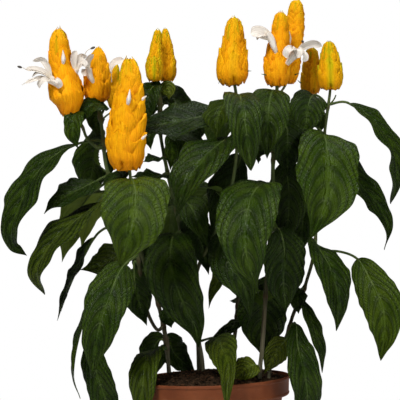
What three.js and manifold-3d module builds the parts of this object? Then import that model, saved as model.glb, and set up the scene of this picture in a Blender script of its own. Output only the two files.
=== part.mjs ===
// Potted golden shrimp plant: pot, soil, stems, quilted leaves, golden bract spikes and white flowers.
// Millimetres, +Z up. The origin is the middle of the pot's flat base, and the viewer of the photo stands
// on the -Y side. The pot's rim diameter is the one real size that everything else is worked out from.

import * as THREE from 'three';
import * as BufferGeometryUtils from 'three/addons/utils/BufferGeometryUtils.js';
import Module from 'manifold-3d';

const wasm = await Module();
wasm.setup();

// Pot
const RIM_DIAMETER = 130;
const POT_HEIGHT = 112;
const BAND_HEIGHT = 16;
const BAND_TAPER = 1.2;
const BAND_STEP = 6;
const BASE_DIAMETER = 92;
const POT_WALL = 1.8;
const POT_FLOOR = 2.4;
const LIP_ROUND = 0.7;
const FOOT_CHAMFER = 1.6;
const POT_SEGMENTS = 48;

// Soil: level with the lip at the wall and gently mounded towards the middle
const SOIL_BELOW_RIM = 2.6;
const MOUND_HEIGHT = 5.4;
const MOUND_FLATNESS = 4;
const SOIL_SEGMENTS = 40;
const SOIL_RINGS = 6;

// Shared sizes
const GAP = 0.35;
const WELD_DISTANCE = 1e-3;
const ROOT_LEVELS = [-18, -4, 3];
const STEM_SIDES = 8;
const STEM_STEP = 14;
const FEWEST_STEM_STEPS = 3;
const BLADE_THICKNESS = 1.3;
const BLADE_FOLD = 0.16;
const PETIOLE_DIAMETER = 2.2;
const STALK_CLEARANCE = 3.4;
const SPIKE_SIDES = 12;
const SPIKE_TIERS = 10;
const TIER_STEP = 0.07;

// How the photo maps to the plant: the rim's width in the photo gives the scale, the rim's slope gives the
// camera's roll, and how far the rim's ellipse opens gives the distance.
const PHOTO_MIDDLE_PIXEL = 200;
const RIM_WIDTH_PIXELS = 154;
const MM_PER_PIXEL = RIM_DIAMETER / RIM_WIDTH_PIXELS;
const CAMERA_ROLL = THREE.MathUtils.degToRad(2.2);
const CAMERA_DISTANCE = 1363;
const EYE_ACROSS = -5.2;
const EYE_HEIGHT = 261.7;

// The place of a photo pixel that lies `near` millimetres in front of the pot's axis.
function seen([pixelX, pixelY, near]) {
  const u = pixelX - PHOTO_MIDDLE_PIXEL;
  const v = PHOTO_MIDDLE_PIXEL - pixelY;
  const across = u * Math.cos(CAMERA_ROLL) + v * Math.sin(CAMERA_ROLL);
  const up = v * Math.cos(CAMERA_ROLL) - u * Math.sin(CAMERA_ROLL);
  const scale = MM_PER_PIXEL * (CAMERA_DISTANCE - near) / CAMERA_DISTANCE;
  return new THREE.Vector3(EYE_ACROSS + across * scale, -near, EYE_HEIGHT + up * scale);
}

// Stems: each route is a list of [photo x, photo y, millimetres nearer than the pot's axis]
const STEMS = [
  {
    name: 'stem_left',
    radius: 2.1,
    rooted: true,
    route: [[169, 374, -34], [165, 334, -30], [156, 296, -24], [151, 282, -20], [136, 240, -10], [117, 200, 2],
      [106, 165, 8], [103, 138, 10], [99, 105, 12]],
  },
  {
    name: 'stem_front_spike',
    radius: 1.7,
    route: [[158, 330, -20], [149, 316, -6], [143, 290, 14], [137, 250, 30], [133, 215, 40], [131, 190, 46],
      [130, 173, 48]],
  },
  {
    name: 'stem_far_left_spike',
    radius: 1.5,
    route: [[98, 148, 15], [86, 134, 19], [74, 125, 22], [68, 119, 23]],
  },
  {
    name: 'stem_centre',
    radius: 2,
    rooted: true,
    route: [[199, 372, -43], [198, 344, -43], [196, 310, -42], [188, 260, -40], [176, 210, -38], [166, 165, -36],
      [160, 130, -34], [160, 105, -31], [158, 87, -28]],
  },
  {
    name: 'stem_middle_spike',
    radius: 1.9,
    rooted: true,
    route: [[203, 373, -36], [201, 352, -36], [196, 330, -34], [193, 300, -32], [198, 268, -28], [212, 240, -20],
      [226, 205, -10], [233, 180, -4], [238, 130, 5], [237, 105, 8], [236, 89, 10]],
  },
  {
    name: 'stem_right',
    radius: 2.1,
    rooted: true,
    route: [[259.7, 380, 26], [262, 350, 27], [264, 321, 27], [266, 289, 26], [268, 266, 24], [272, 200, 18],
      [274, 131, 14], [276, 105, 13], [277, 89, 14]],
  },
  {
    name: 'stem_right_spike',
    radius: 1.7,
    rooted: true,
    route: [[269.5, 379, 22], [270.5, 366, 22], [278, 352, 19], [287, 335, 15], [293, 315, 12], [303, 292, 9],
      [307.5, 278, 6], [313, 258, 3], [317, 220, -6], [320, 170, -14], [325, 130, -18], [328, 107, -18],
      [330, 93, -18]],
  },
  {
    name: 'stem_dark_spike',
    radius: 1.4,
    route: [[317, 152, -22], [312, 130, -32], [310, 114, -37], [310, 99, -39]],
  },
  {
    name: 'stem_back',
    radius: 2,
    rooted: true,
    route: [[232, 371, -44], [233, 350, -46], [237, 315, -54], [238, 270, -60], [232, 200, -64], [224, 150, -64],
      [220, 120, -62]],
  },
];

// Golden bract spikes: base and tip as above, girth in millimetres, and fullness, which is low for a cone
// and high for a spike that stays thick almost to its tip
const SPIKES = [
  { name: 'spike_far_left', base: [67, 117, 23], tip: [59, 28, 28], girth: 26, fullness: 2.6 },
  { name: 'spike_left_back', base: [98.5, 103, 12], tip: [99.5, 48, 14], girth: 24, fullness: 2.4 },
  { name: 'spike_left_green', base: [113, 110, -20], tip: [114, 60, -22], girth: 13, fullness: 2.6 },
  { name: 'spike_front', base: [130, 171, 48], tip: [127.5, 58, 50], girth: 33, fullness: 3 },
  { name: 'spike_pair_left', base: [157, 84, -27], tip: [157.5, 30, -24], girth: 18.5, fullness: 2.4 },
  { name: 'spike_pair_right', base: [165, 83, -45], tip: [165.5, 29, -44], girth: 18.5, fullness: 2.4 },
  { name: 'spike_middle', base: [235, 86, 10], tip: [234, 17, 10], girth: 28, fullness: 1.8 },
  { name: 'spike_tall_left', base: [277, 86, 14], tip: [281, 12, 14], girth: 21, fullness: 2.8 },
  { name: 'spike_tall_right', base: [285, 86, -8], tip: [297, 1, -16], girth: 20, fullness: 3 },
  { name: 'spike_dark', base: [310, 95, -39], tip: [312, 48, -40], girth: 18, fullness: 2.8 },
  { name: 'spike_right', base: [330, 90, -18], tip: [329, 41, -18], girth: 20.5, fullness: 2.8 },
];

// White flowers: a tube that leaves the spike and opens into a lip
const FLOWERS = [
  { name: 'flower_far_left', rib: [[48, 80, 30], [41, 78, 32], [34, 79, 33], [26, 74, 34]], width: 11 },
  { name: 'flower_left_inner', rib: [[77, 70, 24], [81, 62, 24], [85, 55, 25], [91, 49, 26]], width: 9 },
  { name: 'flower_tall_left', rib: [[266.5, 41, 16], [265, 36, 18], [260, 31, 20], [252.5, 33, 21]], width: 8 },
  { name: 'flower_tall_right', rib: [[292, 58, 17.5], [297, 51, 19], [306, 43, 21], [321, 46, 22]], width: 11 },
];

// Leaves: the rib runs from the stem to the tip, width is across the open blade in millimetres, face is the
// way that the upper side looks, tipFace is the way it looks at the tip of a twisted leaf, and petiole is a
// long stalk's share of the rib
const LEAVES = [
  {
    name: 'leaf_far_left',
    rib: [[102, 140, 12], [73, 144, 16], [49, 162, 26], [27, 190, 34], [10, 222, 37], [13, 244, 36],
      [26, 256, 32]],
    width: 44,
    face: [-0.7, -0.6, 0.5],
  },
  {
    name: 'leaf_left_upper',
    rib: [[106, 172, 10], [84, 180, 20], [65, 194, 28], [45, 214, 30]],
    width: 34,
    face: [-0.45, -0.45, 0.8],
  },
  {
    name: 'leaf_left_underside',
    rib: [[108, 178, 5], [96, 198, -16], [81, 226, -28], [62, 261, -32]],
    width: 34,
    face: [-0.3, 0.9, 0.3],
  },
  {
    name: 'leaf_left_middle',
    rib: [[116, 198, 6], [98, 204, 22], [73, 220, 40], [47, 248, 48], [35, 272, 48], [44, 295, 42]],
    width: 40,
    face: [-0.6, -0.5, 0.6],
  },
  {
    name: 'leaf_left_edge_on',
    rib: [[129, 231, -4], [105, 229, 6], [91, 245, 10], [75, 273, 14], [57, 320, 10]],
    width: 32,
    face: [-0.9, -0.15, 0.4],
  },
  {
    name: 'leaf_front_broad',
    rib: [[131, 184, 48], [132, 179, 62], [134, 192, 84], [131, 228, 96], [119.5, 270, 88]],
    width: 56,
    face: [0.1, -0.8, 0.6],
  },
  {
    name: 'leaf_left_back',
    rib: [[104, 141, 8], [97, 146, -8], [88, 164, -22], [82, 200, -28]],
    width: 31,
    face: [-0.3, -0.8, 0.5],
  },
  {
    name: 'leaf_low_left',
    rib: [[137, 255, 30], [124, 262, 48], [111, 290, 64], [102, 330, 68], [92, 380, 58]],
    width: 41,
    face: [-0.25, -0.9, 0.3],
  },
  {
    name: 'leaf_low_left_behind',
    rib: [[150, 284, -18], [122, 300, 4], [99, 335, 18], [101, 375, 24], [118, 432, 20]],
    width: 35,
    face: [-0.4, -0.8, 0.3],
  },
  {
    name: 'leaf_over_rim_left',
    rib: [[165, 350, -31], [155, 351, -6], [145, 362, 26], [142, 388, 44], [141, 426, 46]],
    width: 30,
    face: [-0.5, -0.5, 0.7],
  },
  {
    name: 'leaf_heart_low',
    rib: [[166, 340, -32], [167, 342, -42], [173, 353, -52], [195, 369, -56]],
    width: 35,
    face: [0.1, -0.6, 0.75],
  },
  {
    name: 'leaf_centre_dark',
    rib: [[181, 232, -26], [172, 240, 8], [171, 268, 30], [182, 306, 36], [197, 344, 30]],
    width: 49,
    face: [-0.1, -0.85, 0.5],
  },
  {
    name: 'leaf_centre_small',
    rib: [[178, 200, -18], [188, 203, 4], [197, 220, 20], [208, 249, 22]],
    width: 30,
    face: [0.2, -0.85, 0.4],
  },
  {
    name: 'leaf_middle_front',
    rib: [[273, 187, 18], [262, 184, 44], [250, 201, 78], [245, 245, 94], [260, 299.5, 82]],
    width: 50,
    face: [-0.2, -0.85, 0.5],
  },
  {
    name: 'leaf_middle_behind',
    rib: [[226, 226, -14], [214, 238, 10], [222, 262, 30], [238, 290, 36], [247, 318, 32]],
    width: 32,
    face: [-0.4, -0.85, 0.3],
  },
  {
    name: 'leaf_diagonal',
    rib: [[238, 134, 5], [226, 138, 28], [204, 156, 52], [184, 186, 62], [174, 219, 56]],
    width: 50,
    face: [-0.5, -0.75, 0.55],
  },
  {
    name: 'leaf_level',
    rib: [[237, 114, 8], [216, 113, 3], [183, 118, 16], [153, 124, 16], [130, 131, 8]],
    width: 44,
    face: [-0.1, -0.6, 0.8],
  },
  {
    name: 'leaf_pair_right',
    rib: [[160, 103, -31], [168, 99, -46], [181, 101, -56], [198, 115, -62]],
    width: 30,
    face: [0.3, -0.75, 0.6],
  },
  {
    name: 'leaf_middle_left_half',
    rib: [[236, 106, 8], [227, 101, 20], [219, 113, 32], [216, 138, 34]],
    width: 31,
    face: [-0.6, -0.75, 0.4],
  },
  {
    name: 'leaf_middle_drooping',
    rib: [[237, 96, 9], [246, 93, 46], [254, 118, 68], [251, 166, 66]],
    width: 34,
    face: [0.1, -0.85, 0.5],
  },
  {
    name: 'leaf_tall_dome',
    rib: [[276, 97, 14], [273, 92, 26], [270, 106, 40], [268, 140, 44]],
    width: 36,
    face: [-0.1, -0.8, 0.6],
  },
  {
    name: 'leaf_tall_right',
    rib: [[275, 112, 13], [284, 111, 16], [288, 128, 19], [288, 176, 18]],
    width: 29,
    face: [0.3, -0.8, 0.5],
  },
  {
    name: 'leaf_dark_dome',
    rib: [[327, 107, -18], [319, 98, -4], [308, 102, 8], [302, 137, 8]],
    width: 35,
    face: [0.1, -0.85, 0.5],
  },
  {
    name: 'leaf_right_broad',
    rib: [[324, 141, -17], [325, 136, 6], [329, 151, 28], [325, 197, 42], [309, 239, 38]],
    width: 56,
    face: [0.25, -0.8, 0.5],
  },
  {
    name: 'leaf_right_behind',
    rib: [[321, 158, -16], [340, 160, -32], [362, 186, -42], [381, 212, -44], [387, 232, -42],
      [382.5, 249, -38]],
    width: 34,
    face: [0.6, -0.6, 0.5],
  },
  {
    name: 'leaf_top_right',
    rib: [[329, 104, -18], [346, 101, -12], [367, 115, -6], [387, 143, -4], [396, 175, -6], [391, 203, -8]],
    width: 34,
    face: [0.75, -0.45, 0.55],
  },
  {
    name: 'leaf_right_lower',
    rib: [[315, 240, 1], [316, 245, 26], [328, 266, 42], [336, 298, 46], [336, 330, 40]],
    width: 36,
    face: [0.55, -0.7, 0.35],
  },
  {
    name: 'leaf_right_far',
    rib: [[313, 253, 2], [335, 252, 8], [357, 254, 14], [369, 270, 20], [384, 294, 26], [388, 327, 26],
      [381, 361, 20]],
    width: 44,
    face: [0.15, -0.9, 0.35],
    petiole: 0.27,
  },
  {
    name: 'leaf_right_inner',
    rib: [[270, 232, 22], [283, 228, 34], [290, 250, 37], [289, 280, 36], [289, 310, 34]],
    width: 32,
    face: [0.1, -0.9, 0.3],
  },
  {
    name: 'leaf_low_right',
    rib: [[291, 326, 13], [299, 326, 34], [303, 350, 48], [306, 385, 52], [306, 428, 46]],
    width: 31,
    face: [0.3, -0.85, 0.4],
  },
  {
    name: 'leaf_over_rim_front',
    rib: [[206, 340, -33], [217, 335, 0], [224, 350, 42], [227, 374, 74], [228, 402, 82], [226, 430, 80]],
    width: 30,
    face: [-0.2, -0.5, 0.85],
    tipFace: [-0.95, -0.3, 0.2],
  },
  {
    name: 'leaf_back_low',
    rib: [[237, 306, -56], [248, 296, -82], [260, 306, -104], [261, 349, -108]],
    width: 42,
    face: [0.2, 0.85, 0.4],
  },
  {
    name: 'leaf_back_left',
    rib: [[232, 200, -64], [205, 190, -92], [176, 210, -112], [160, 250, -112]],
    width: 46,
    face: [-0.5, 0.75, 0.4],
  },
  {
    name: 'leaf_back_right',
    rib: [[234, 222, -62], [258, 213, -84], [282, 222, -104], [290, 262, -108]],
    width: 44,
    face: [0.5, 0.75, 0.4],
  },
];

function material(name, color, roughness) {
  return new THREE.MeshStandardMaterial({ name, color, roughness, metalness: 0 });
}

const MATERIALS = {
  terracotta: material('terracotta', 0x7a3b22, 0.6),
  soil: material('soil', 0x33241a, 0.95),
  stem: material('stem', 0x5d6b41, 0.6),
  leaf: material('leaf', 0x24401b, 0.4),
  bract: material('bract', 0xf2a900, 0.55),
  petal: material('petal', 0xf2ece4, 0.6),
};

const plant = new THREE.Group();

function addPiece(name, geometry, look) {
  const mesh = new THREE.Mesh(geometry, MATERIALS[look]);
  mesh.name = name;
  plant.add(mesh);
  return mesh;
}

// A closed body through rings of equally many points. It ends flat on the first ring, and flat on the last
// ring or at a single end point. The faces of each ring's second half are split the other way, so that the
// two sides of a thin blade bend along the same lines.
function loftedSolid(rings, endPoint = null) {
  const count = rings[0].length;
  const positions = rings.flat().flatMap((point) => point.toArray());
  const faces = [];
  for (let ring = 0; ring + 1 < rings.length; ring += 1) {
    for (let k = 0; k < count; k += 1) {
      const here = ring * count + k;
      const beside = ring * count + (k + 1) % count;
      if (k < count / 2) {
        faces.push(here, beside, beside + count, here, beside + count, here + count);
      } else {
        faces.push(here, beside, here + count, beside, beside + count, here + count);
      }
    }
  }
  const lastRing = (rings.length - 1) * count;
  for (let k = 1; k + 1 < count; k += 1) {
    faces.push(0, k + 1, k);
    if (!endPoint) {
      faces.push(lastRing, lastRing + k, lastRing + k + 1);
    }
  }
  if (endPoint) {
    const apex = positions.length / 3;
    positions.push(...endPoint.toArray());
    for (let k = 0; k < count; k += 1) {
      faces.push(lastRing + k, lastRing + (k + 1) % count, apex);
    }
  }
  const geometry = new THREE.BufferGeometry();
  geometry.setAttribute('position', new THREE.Float32BufferAttribute(positions, 3));
  geometry.setIndex(faces);
  return geometry;
}

// Geometry to manifold and back, for the holes that the roots fill
function toManifold(geometry) {
  const bare = geometry.clone();
  bare.deleteAttribute('normal');
  bare.deleteAttribute('uv');
  const merged = BufferGeometryUtils.mergeVertices(bare, WELD_DISTANCE);
  const vertProperties = new Float32Array(merged.attributes.position.array);
  const triVerts = new Uint32Array(merged.index.array);
  return new wasm.Manifold(new wasm.Mesh({ numProp: 3, vertProperties, triVerts }));
}

function fromManifold(solid) {
  const { vertProperties, triVerts } = solid.getMesh();
  const geometry = new THREE.BufferGeometry();
  geometry.setAttribute('position', new THREE.BufferAttribute(vertProperties, 3));
  geometry.setIndex(new THREE.BufferAttribute(triVerts, 1));
  return geometry;
}

// Pot: one moulded wall with a rim band, a rounded lip and a flat floor to stand on
function potWallRadius(height) {
  const baseRadius = BASE_DIAMETER / 2;
  const topRadius = RIM_DIAMETER / 2 - BAND_TAPER - BAND_STEP;
  return baseRadius + (topRadius - baseRadius) * height / (POT_HEIGHT - BAND_HEIGHT);
}

function buildPot() {
  const rim = RIM_DIAMETER / 2;
  const bandBottom = POT_HEIGHT - BAND_HEIGHT;
  const shoulder = potWallRadius(bandBottom);
  const inside = rim - POT_WALL;
  const profile = [
    [0, 0],
    [potWallRadius(0) - FOOT_CHAMFER, 0],
    [potWallRadius(0), FOOT_CHAMFER],
    [shoulder, bandBottom - FOOT_CHAMFER],
    [rim - BAND_TAPER - LIP_ROUND, bandBottom],
    [rim - BAND_TAPER, bandBottom + LIP_ROUND],
    [rim, POT_HEIGHT - LIP_ROUND],
    [rim - LIP_ROUND, POT_HEIGHT],
    [inside + LIP_ROUND, POT_HEIGHT],
    [inside, POT_HEIGHT - LIP_ROUND],
    [inside - BAND_TAPER, bandBottom + POT_WALL],
    [shoulder - POT_WALL, bandBottom],
    [potWallRadius(POT_FLOOR) - POT_WALL, POT_FLOOR],
    [0, POT_FLOOR],
  ].map(([radius, height]) => new THREE.Vector2(radius, height));
  const geometry = new THREE.LatheGeometry(profile, POT_SEGMENTS);
  geometry.rotateX(Math.PI / 2);
  addPiece('pot', geometry, 'terracotta');
}

// Soil: fills the pot, and each rooted stem stands in a hole of its own in it
function soilTop(radius) {
  const edge = RIM_DIAMETER / 2 - POT_WALL - GAP;
  const slope = 1 - (radius / edge) ** MOUND_FLATNESS;
  return POT_HEIGHT - SOIL_BELOW_RIM + MOUND_HEIGHT * slope;
}

function rootPoints(stem) {
  const foot = seen(stem.route[0]);
  const ground = soilTop(Math.hypot(foot.x, foot.y));
  return ROOT_LEVELS.map((level) => new THREE.Vector3(foot.x, foot.y, ground + level));
}

function buildSoil() {
  const bandBottom = POT_HEIGHT - BAND_HEIGHT;
  const edge = RIM_DIAMETER / 2 - POT_WALL - GAP;
  const floorHeight = POT_FLOOR + GAP;
  const profile = [
    [0, floorHeight],
    [potWallRadius(floorHeight) - POT_WALL - GAP, floorHeight],
    [potWallRadius(bandBottom) - POT_WALL - GAP, bandBottom],
    [edge - BAND_TAPER, bandBottom + POT_WALL + GAP],
    [edge - LIP_ROUND, soilTop(edge)],
  ];
  for (let ring = 1; ring <= SOIL_RINGS; ring += 1) {
    const radius = (edge - LIP_ROUND) * (1 - ring / SOIL_RINGS);
    profile.push([radius, soilTop(radius)]);
  }
  const lathe = new THREE.LatheGeometry(profile.map((pair) => new THREE.Vector2(...pair)), SOIL_SEGMENTS);
  lathe.rotateX(Math.PI / 2);
  let soil = toManifold(lathe);
  for (const stem of STEMS.filter((each) => each.rooted)) {
    const root = rootPoints(stem)[0];
    const length = 2 * (Math.abs(ROOT_LEVELS[0]) + GAP);
    const hole = new THREE.CylinderGeometry(stem.radius + GAP, stem.radius + GAP, length, STEM_SIDES);
    hole.rotateX(Math.PI / 2);
    hole.translate(root.x, root.y, root.z - GAP + length / 2);
    soil = soil.subtract(toManifold(hole));
  }
  addPiece('soil', fromManifold(soil), 'soil');
}

// Stems: round tubes along their routes, with a straight root end in the soil
function roundOutline(radius, sides) {
  const points = [];
  for (let k = 0; k < sides; k += 1) {
    const angle = 2 * Math.PI * k / sides;
    points.push(new THREE.Vector2(radius * Math.cos(angle), radius * Math.sin(angle)));
  }
  return new THREE.Shape(points);
}

function stemPath(stem) {
  const route = stem.route.map(seen);
  const points = stem.rooted ? [...rootPoints(stem), ...route.slice(1)] : route;
  return new THREE.CatmullRomCurve3(points, false, 'centripetal');
}

function buildStem(stem) {
  const path = stemPath(stem);
  const steps = Math.max(FEWEST_STEM_STEPS, Math.round(path.getLength() / STEM_STEP));
  const outline = roundOutline(stem.radius, STEM_SIDES);
  const geometry = new THREE.ExtrudeGeometry(outline, { steps, bevelEnabled: false, extrudePath: path });
  addPiece(stem.name, geometry, 'stem');
}

// Leaves: a petiole that opens into a blade folded a little along its rib, ending in a drawn-out tip
const PETIOLE_SHARE = 0.13;
const BLADE_STATIONS = [0.03, 0.1, 0.2, 0.32, 0.45, 0.58, 0.71, 0.83, 0.93];
const BASE_ROUNDNESS = 0.6;
const TIP_SHARPNESS = 1.1;

function bladeShare(along) {
  const widest = BASE_ROUNDNESS / (BASE_ROUNDNESS + TIP_SHARPNESS);
  const outline = (t) => t ** BASE_ROUNDNESS * (1 - t) ** TIP_SHARPNESS;
  return outline(along) / outline(widest);
}

// A diamond section across the rib: left edge, underside, right edge, upper side
function bladeSection(place, tangent, face, halfWidth, halfThickness, fold) {
  const side = new THREE.Vector3().crossVectors(tangent, face).normalize();
  const normal = new THREE.Vector3().crossVectors(side, tangent).normalize();
  const lift = normal.clone().multiplyScalar(fold * halfWidth);
  return [
    place.clone().addScaledVector(side, halfWidth).add(lift),
    place.clone().addScaledVector(normal, -halfThickness),
    place.clone().addScaledVector(side, -halfWidth).add(lift),
    place.clone().addScaledVector(normal, halfThickness),
  ];
}

function buildLeaf({ name, rib, width, face, tipFace = face, petiole = PETIOLE_SHARE }) {
  const path = new THREE.CatmullRomCurve3(rib.map(seen), false, 'centripetal');
  const start = STALK_CLEARANCE / path.getLength();
  const bladeStart = start + petiole;
  const facing = new THREE.Vector3(...face);
  const endFacing = new THREE.Vector3(...tipFace);
  const petioleRadius = PETIOLE_DIAMETER / 2;
  const rings = [start, start + petiole / 2].map((share) => {
    const [place, tangent] = [path.getPointAt(share), path.getTangentAt(share)];
    return bladeSection(place, tangent, facing, petioleRadius, petioleRadius, 0);
  });
  for (const along of BLADE_STATIONS) {
    const share = bladeStart + along * (1 - bladeStart);
    const halfWidth = Math.max(petioleRadius, width / 2 * bladeShare(along));
    const [place, tangent] = [path.getPointAt(share), path.getTangentAt(share)];
    const turned = facing.clone().lerp(endFacing, along);
    rings.push(bladeSection(place, tangent, turned, halfWidth, BLADE_THICKNESS / 2, BLADE_FOLD));
  }
  addPiece(name, loftedSolid(rings, path.getPointAt(1)), 'leaf');
}

// Spikes: bracts in opposite pairs, each pair a quarter turn from the last, give a stepped four-sided body
const SPIKE_FOOT_SHARE = 0.04;
const SPIKE_SWELL_SHARE = 0.16;
const SPIKE_SWELL_POWER = 0.6;
const SPIKE_TAPER_POWER = 0.55;

function spikeShare(along, fullness) {
  const swell = Math.min(1, (along + SPIKE_FOOT_SHARE) / SPIKE_SWELL_SHARE) ** SPIKE_SWELL_POWER;
  const taper = (1 - along ** fullness) ** SPIKE_TAPER_POWER;
  return swell * taper;
}

function buildSpike({ name, base, tip, girth, fullness }) {
  const [foot, top] = [seen(base), seen(tip)];
  const axis = top.clone().sub(foot);
  const across = new THREE.Vector3(0, -1, 0).cross(axis).normalize();
  const toward = axis.clone().cross(across).normalize();
  const rings = [];
  for (let tier = 0; tier < SPIKE_TIERS; tier += 1) {
    const along = tier / SPIKE_TIERS;
    const radius = girth / 2 * spikeShare(along, fullness);
    const ring = [];
    for (let k = 0; k < SPIKE_SIDES; k += 1) {
      const angle = 2 * Math.PI * k / SPIKE_SIDES;
      const reach = radius * (1 + TIER_STEP * Math.cos(2 * angle + tier * Math.PI));
      const point = foot.clone().addScaledVector(axis, along);
      point.addScaledVector(across, reach * Math.cos(angle));
      ring.push(point.addScaledVector(toward, reach * Math.sin(angle)));
    }
    rings.push(ring);
  }
  addPiece(name, loftedSolid(rings, top), 'bract');
}

// Flowers: a slender tube from the spike that widens into the lip. Each station is a share of the flower's
// length and a share of its width.
const FLOWER_STATIONS = [[0, 0.22], [0.3, 0.26], [0.5, 0.6], [0.7, 1], [0.88, 0.7]];
const FLOWER_THICKNESS = 2.6;
const FLOWER_FACE = [0, -0.8, 0.6];

function buildFlower({ name, rib, width }) {
  const path = new THREE.CatmullRomCurve3(rib.map(seen), false, 'centripetal');
  const rings = FLOWER_STATIONS.map(([share, spread]) => {
    const [place, tangent] = [path.getPointAt(share), path.getTangentAt(share)];
    const facing = new THREE.Vector3(...FLOWER_FACE);
    return bladeSection(place, tangent, facing, width / 2 * spread, FLOWER_THICKNESS / 2, 0);
  });
  addPiece(name, loftedSolid(rings, path.getPointAt(1)), 'petal');
}

buildPot();
buildSoil();
STEMS.forEach(buildStem);
SPIKES.forEach(buildSpike);
FLOWERS.forEach(buildFlower);
LEAVES.forEach(buildLeaf);

export default plant;
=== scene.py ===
import math

import bpy
import numpy as np
from mathutils import Matrix, Vector


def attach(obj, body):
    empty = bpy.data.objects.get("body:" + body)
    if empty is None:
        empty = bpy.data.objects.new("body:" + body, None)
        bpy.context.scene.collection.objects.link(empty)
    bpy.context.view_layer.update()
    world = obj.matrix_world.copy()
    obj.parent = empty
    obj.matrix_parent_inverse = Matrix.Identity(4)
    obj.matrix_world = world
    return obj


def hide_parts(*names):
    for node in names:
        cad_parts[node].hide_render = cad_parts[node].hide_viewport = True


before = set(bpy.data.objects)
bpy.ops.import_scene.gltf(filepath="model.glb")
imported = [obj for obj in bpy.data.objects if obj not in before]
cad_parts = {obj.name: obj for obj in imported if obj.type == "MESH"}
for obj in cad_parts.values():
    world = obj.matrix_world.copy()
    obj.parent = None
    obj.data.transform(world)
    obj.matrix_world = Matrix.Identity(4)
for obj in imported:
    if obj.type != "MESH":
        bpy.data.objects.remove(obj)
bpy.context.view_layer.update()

# The visual model of the potted golden shrimp plant. Lengths are in millimetres up to the point where a
# mesh is written, and then in metres. +Z is up and the photo's viewer stands on the -Y side.
METRES = 0.001
FULL_TURN = 2 * math.pi

# Pot and soil, as in the solid model
RIM_RADIUS = 65.0
POT_HEIGHT = 112.0
BAND_HEIGHT = 16.0
BAND_TAPER = 1.2
BAND_STEP = 6.0
BASE_RADIUS = 46.0
POT_WALL = 1.8
POT_FLOOR = 2.4
BAND_BOTTOM = POT_HEIGHT - BAND_HEIGHT
SOIL_BELOW_RIM = 2.6
MOUND_HEIGHT = 5.4
MOUND_FLATNESS = 4
SOIL_EDGE = RIM_RADIUS - POT_WALL - 0.35

# How the photo maps to the plant
PHOTO_SIZE = 400
RIM_WIDTH_PIXELS = 154
MM_PER_PIXEL = 2 * RIM_RADIUS / RIM_WIDTH_PIXELS
CAMERA_ROLL = math.radians(2.2)
CAMERA_DISTANCE = 1363.0
EYE_ACROSS = -5.2
EYE_HEIGHT = 261.7

# Every route below is a list of photo pixels (x, y, near): a point of the photo that lies `near` millimetres
# in front of the pot's axis.

# Stems: name, radius, the stem it branches from (none for one that is rooted in the soil), and route
STEMS = [
    ("stem_left", 2.1, None, [(169, 374, -34), (165, 334, -30), (156, 296, -24), (151, 282, -20),
     (136, 240, -10), (117, 200, 2), (106, 165, 8), (103, 138, 10), (99, 106, 12), (98, 96, 12)]),
    ("stem_front_spike", 1.7, "stem_left", [(158, 330, -20), (149, 316, -6), (143, 290, 14), (137, 250, 30),
     (133, 215, 40), (131, 190, 46), (130, 173, 48), (128.5, 162, 48)]),
    ("stem_far_left_spike", 1.5, "stem_left", [(98, 148, 15), (87, 138, 19), (82, 126, 22), (75, 116, 23),
     (69, 106, 23)]),
    ("stem_centre", 2.0, None, [(199, 372, -43), (198, 344, -43), (196, 310, -42), (188, 260, -40),
     (176, 210, -38), (166, 165, -36), (160, 130, -34), (160, 105, -31), (158, 87, -28), (155.5, 76, -27)]),
    ("pair_right_stalk", 1.0, "stem_centre", [(160, 98, -33), (163, 91, -38), (166, 84, -43),
     (167.3, 76, -45)]),
    ("stem_middle_spike", 1.9, None, [(203, 373, -36), (201, 352, -36), (196, 330, -34), (193, 300, -32),
     (198, 268, -28), (212, 240, -20), (226, 205, -10), (233, 180, -4), (238, 130, 5), (237, 105, 8),
     (235, 87, 10), (232.5, 78, 10)]),
    ("stem_right", 2.1, None, [(259.7, 380, 26), (262, 350, 27), (264, 321, 27), (266, 289, 26),
     (268, 266, 24), (272, 200, 18), (274, 131, 14), (276, 105, 13), (277, 88, 14), (276.5, 79, 14)]),
    ("tall_right_stalk", 1.2, "stem_right", [(276.5, 99, 13), (281, 92, 5), (286, 84, -5), (288.5, 76, -9)]),
    ("left_green_stalk", 0.9, "stem_left", [(101, 120, 11), (106, 116, 0), (111, 111, -15),
     (113.5, 101, -20)]),
    ("right_bare_stalk", 0.75, "stem_right_spike", [(328.5, 105, -18), (331.5, 102.5, -17), (334.2, 99, -17),
     (336, 95, -17)]),
    ("stem_right_spike", 1.7, None, [(269.5, 379, 22), (270.5, 366, 22), (278, 352, 19), (287, 335, 15),
     (293, 315, 12), (303, 292, 9), (307.5, 278, 6), (313, 258, 3), (317, 220, -6), (320, 170, -14),
     (325, 130, -18), (328, 107, -18), (330, 92, -18), (330.5, 82, -18)]),
    ("stem_dark_spike", 1.4, "stem_right_spike", [(317, 152, -22), (312, 130, -32), (310, 114, -37),
     (310, 99, -39), (311, 88, -39)]),
    ("stem_back", 2.0, None, [(232, 371, -44), (233, 350, -46), (237, 315, -54), (238, 270, -60),
     (232, 200, -64), (224, 150, -64), (220, 120, -62)]),
]

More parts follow.
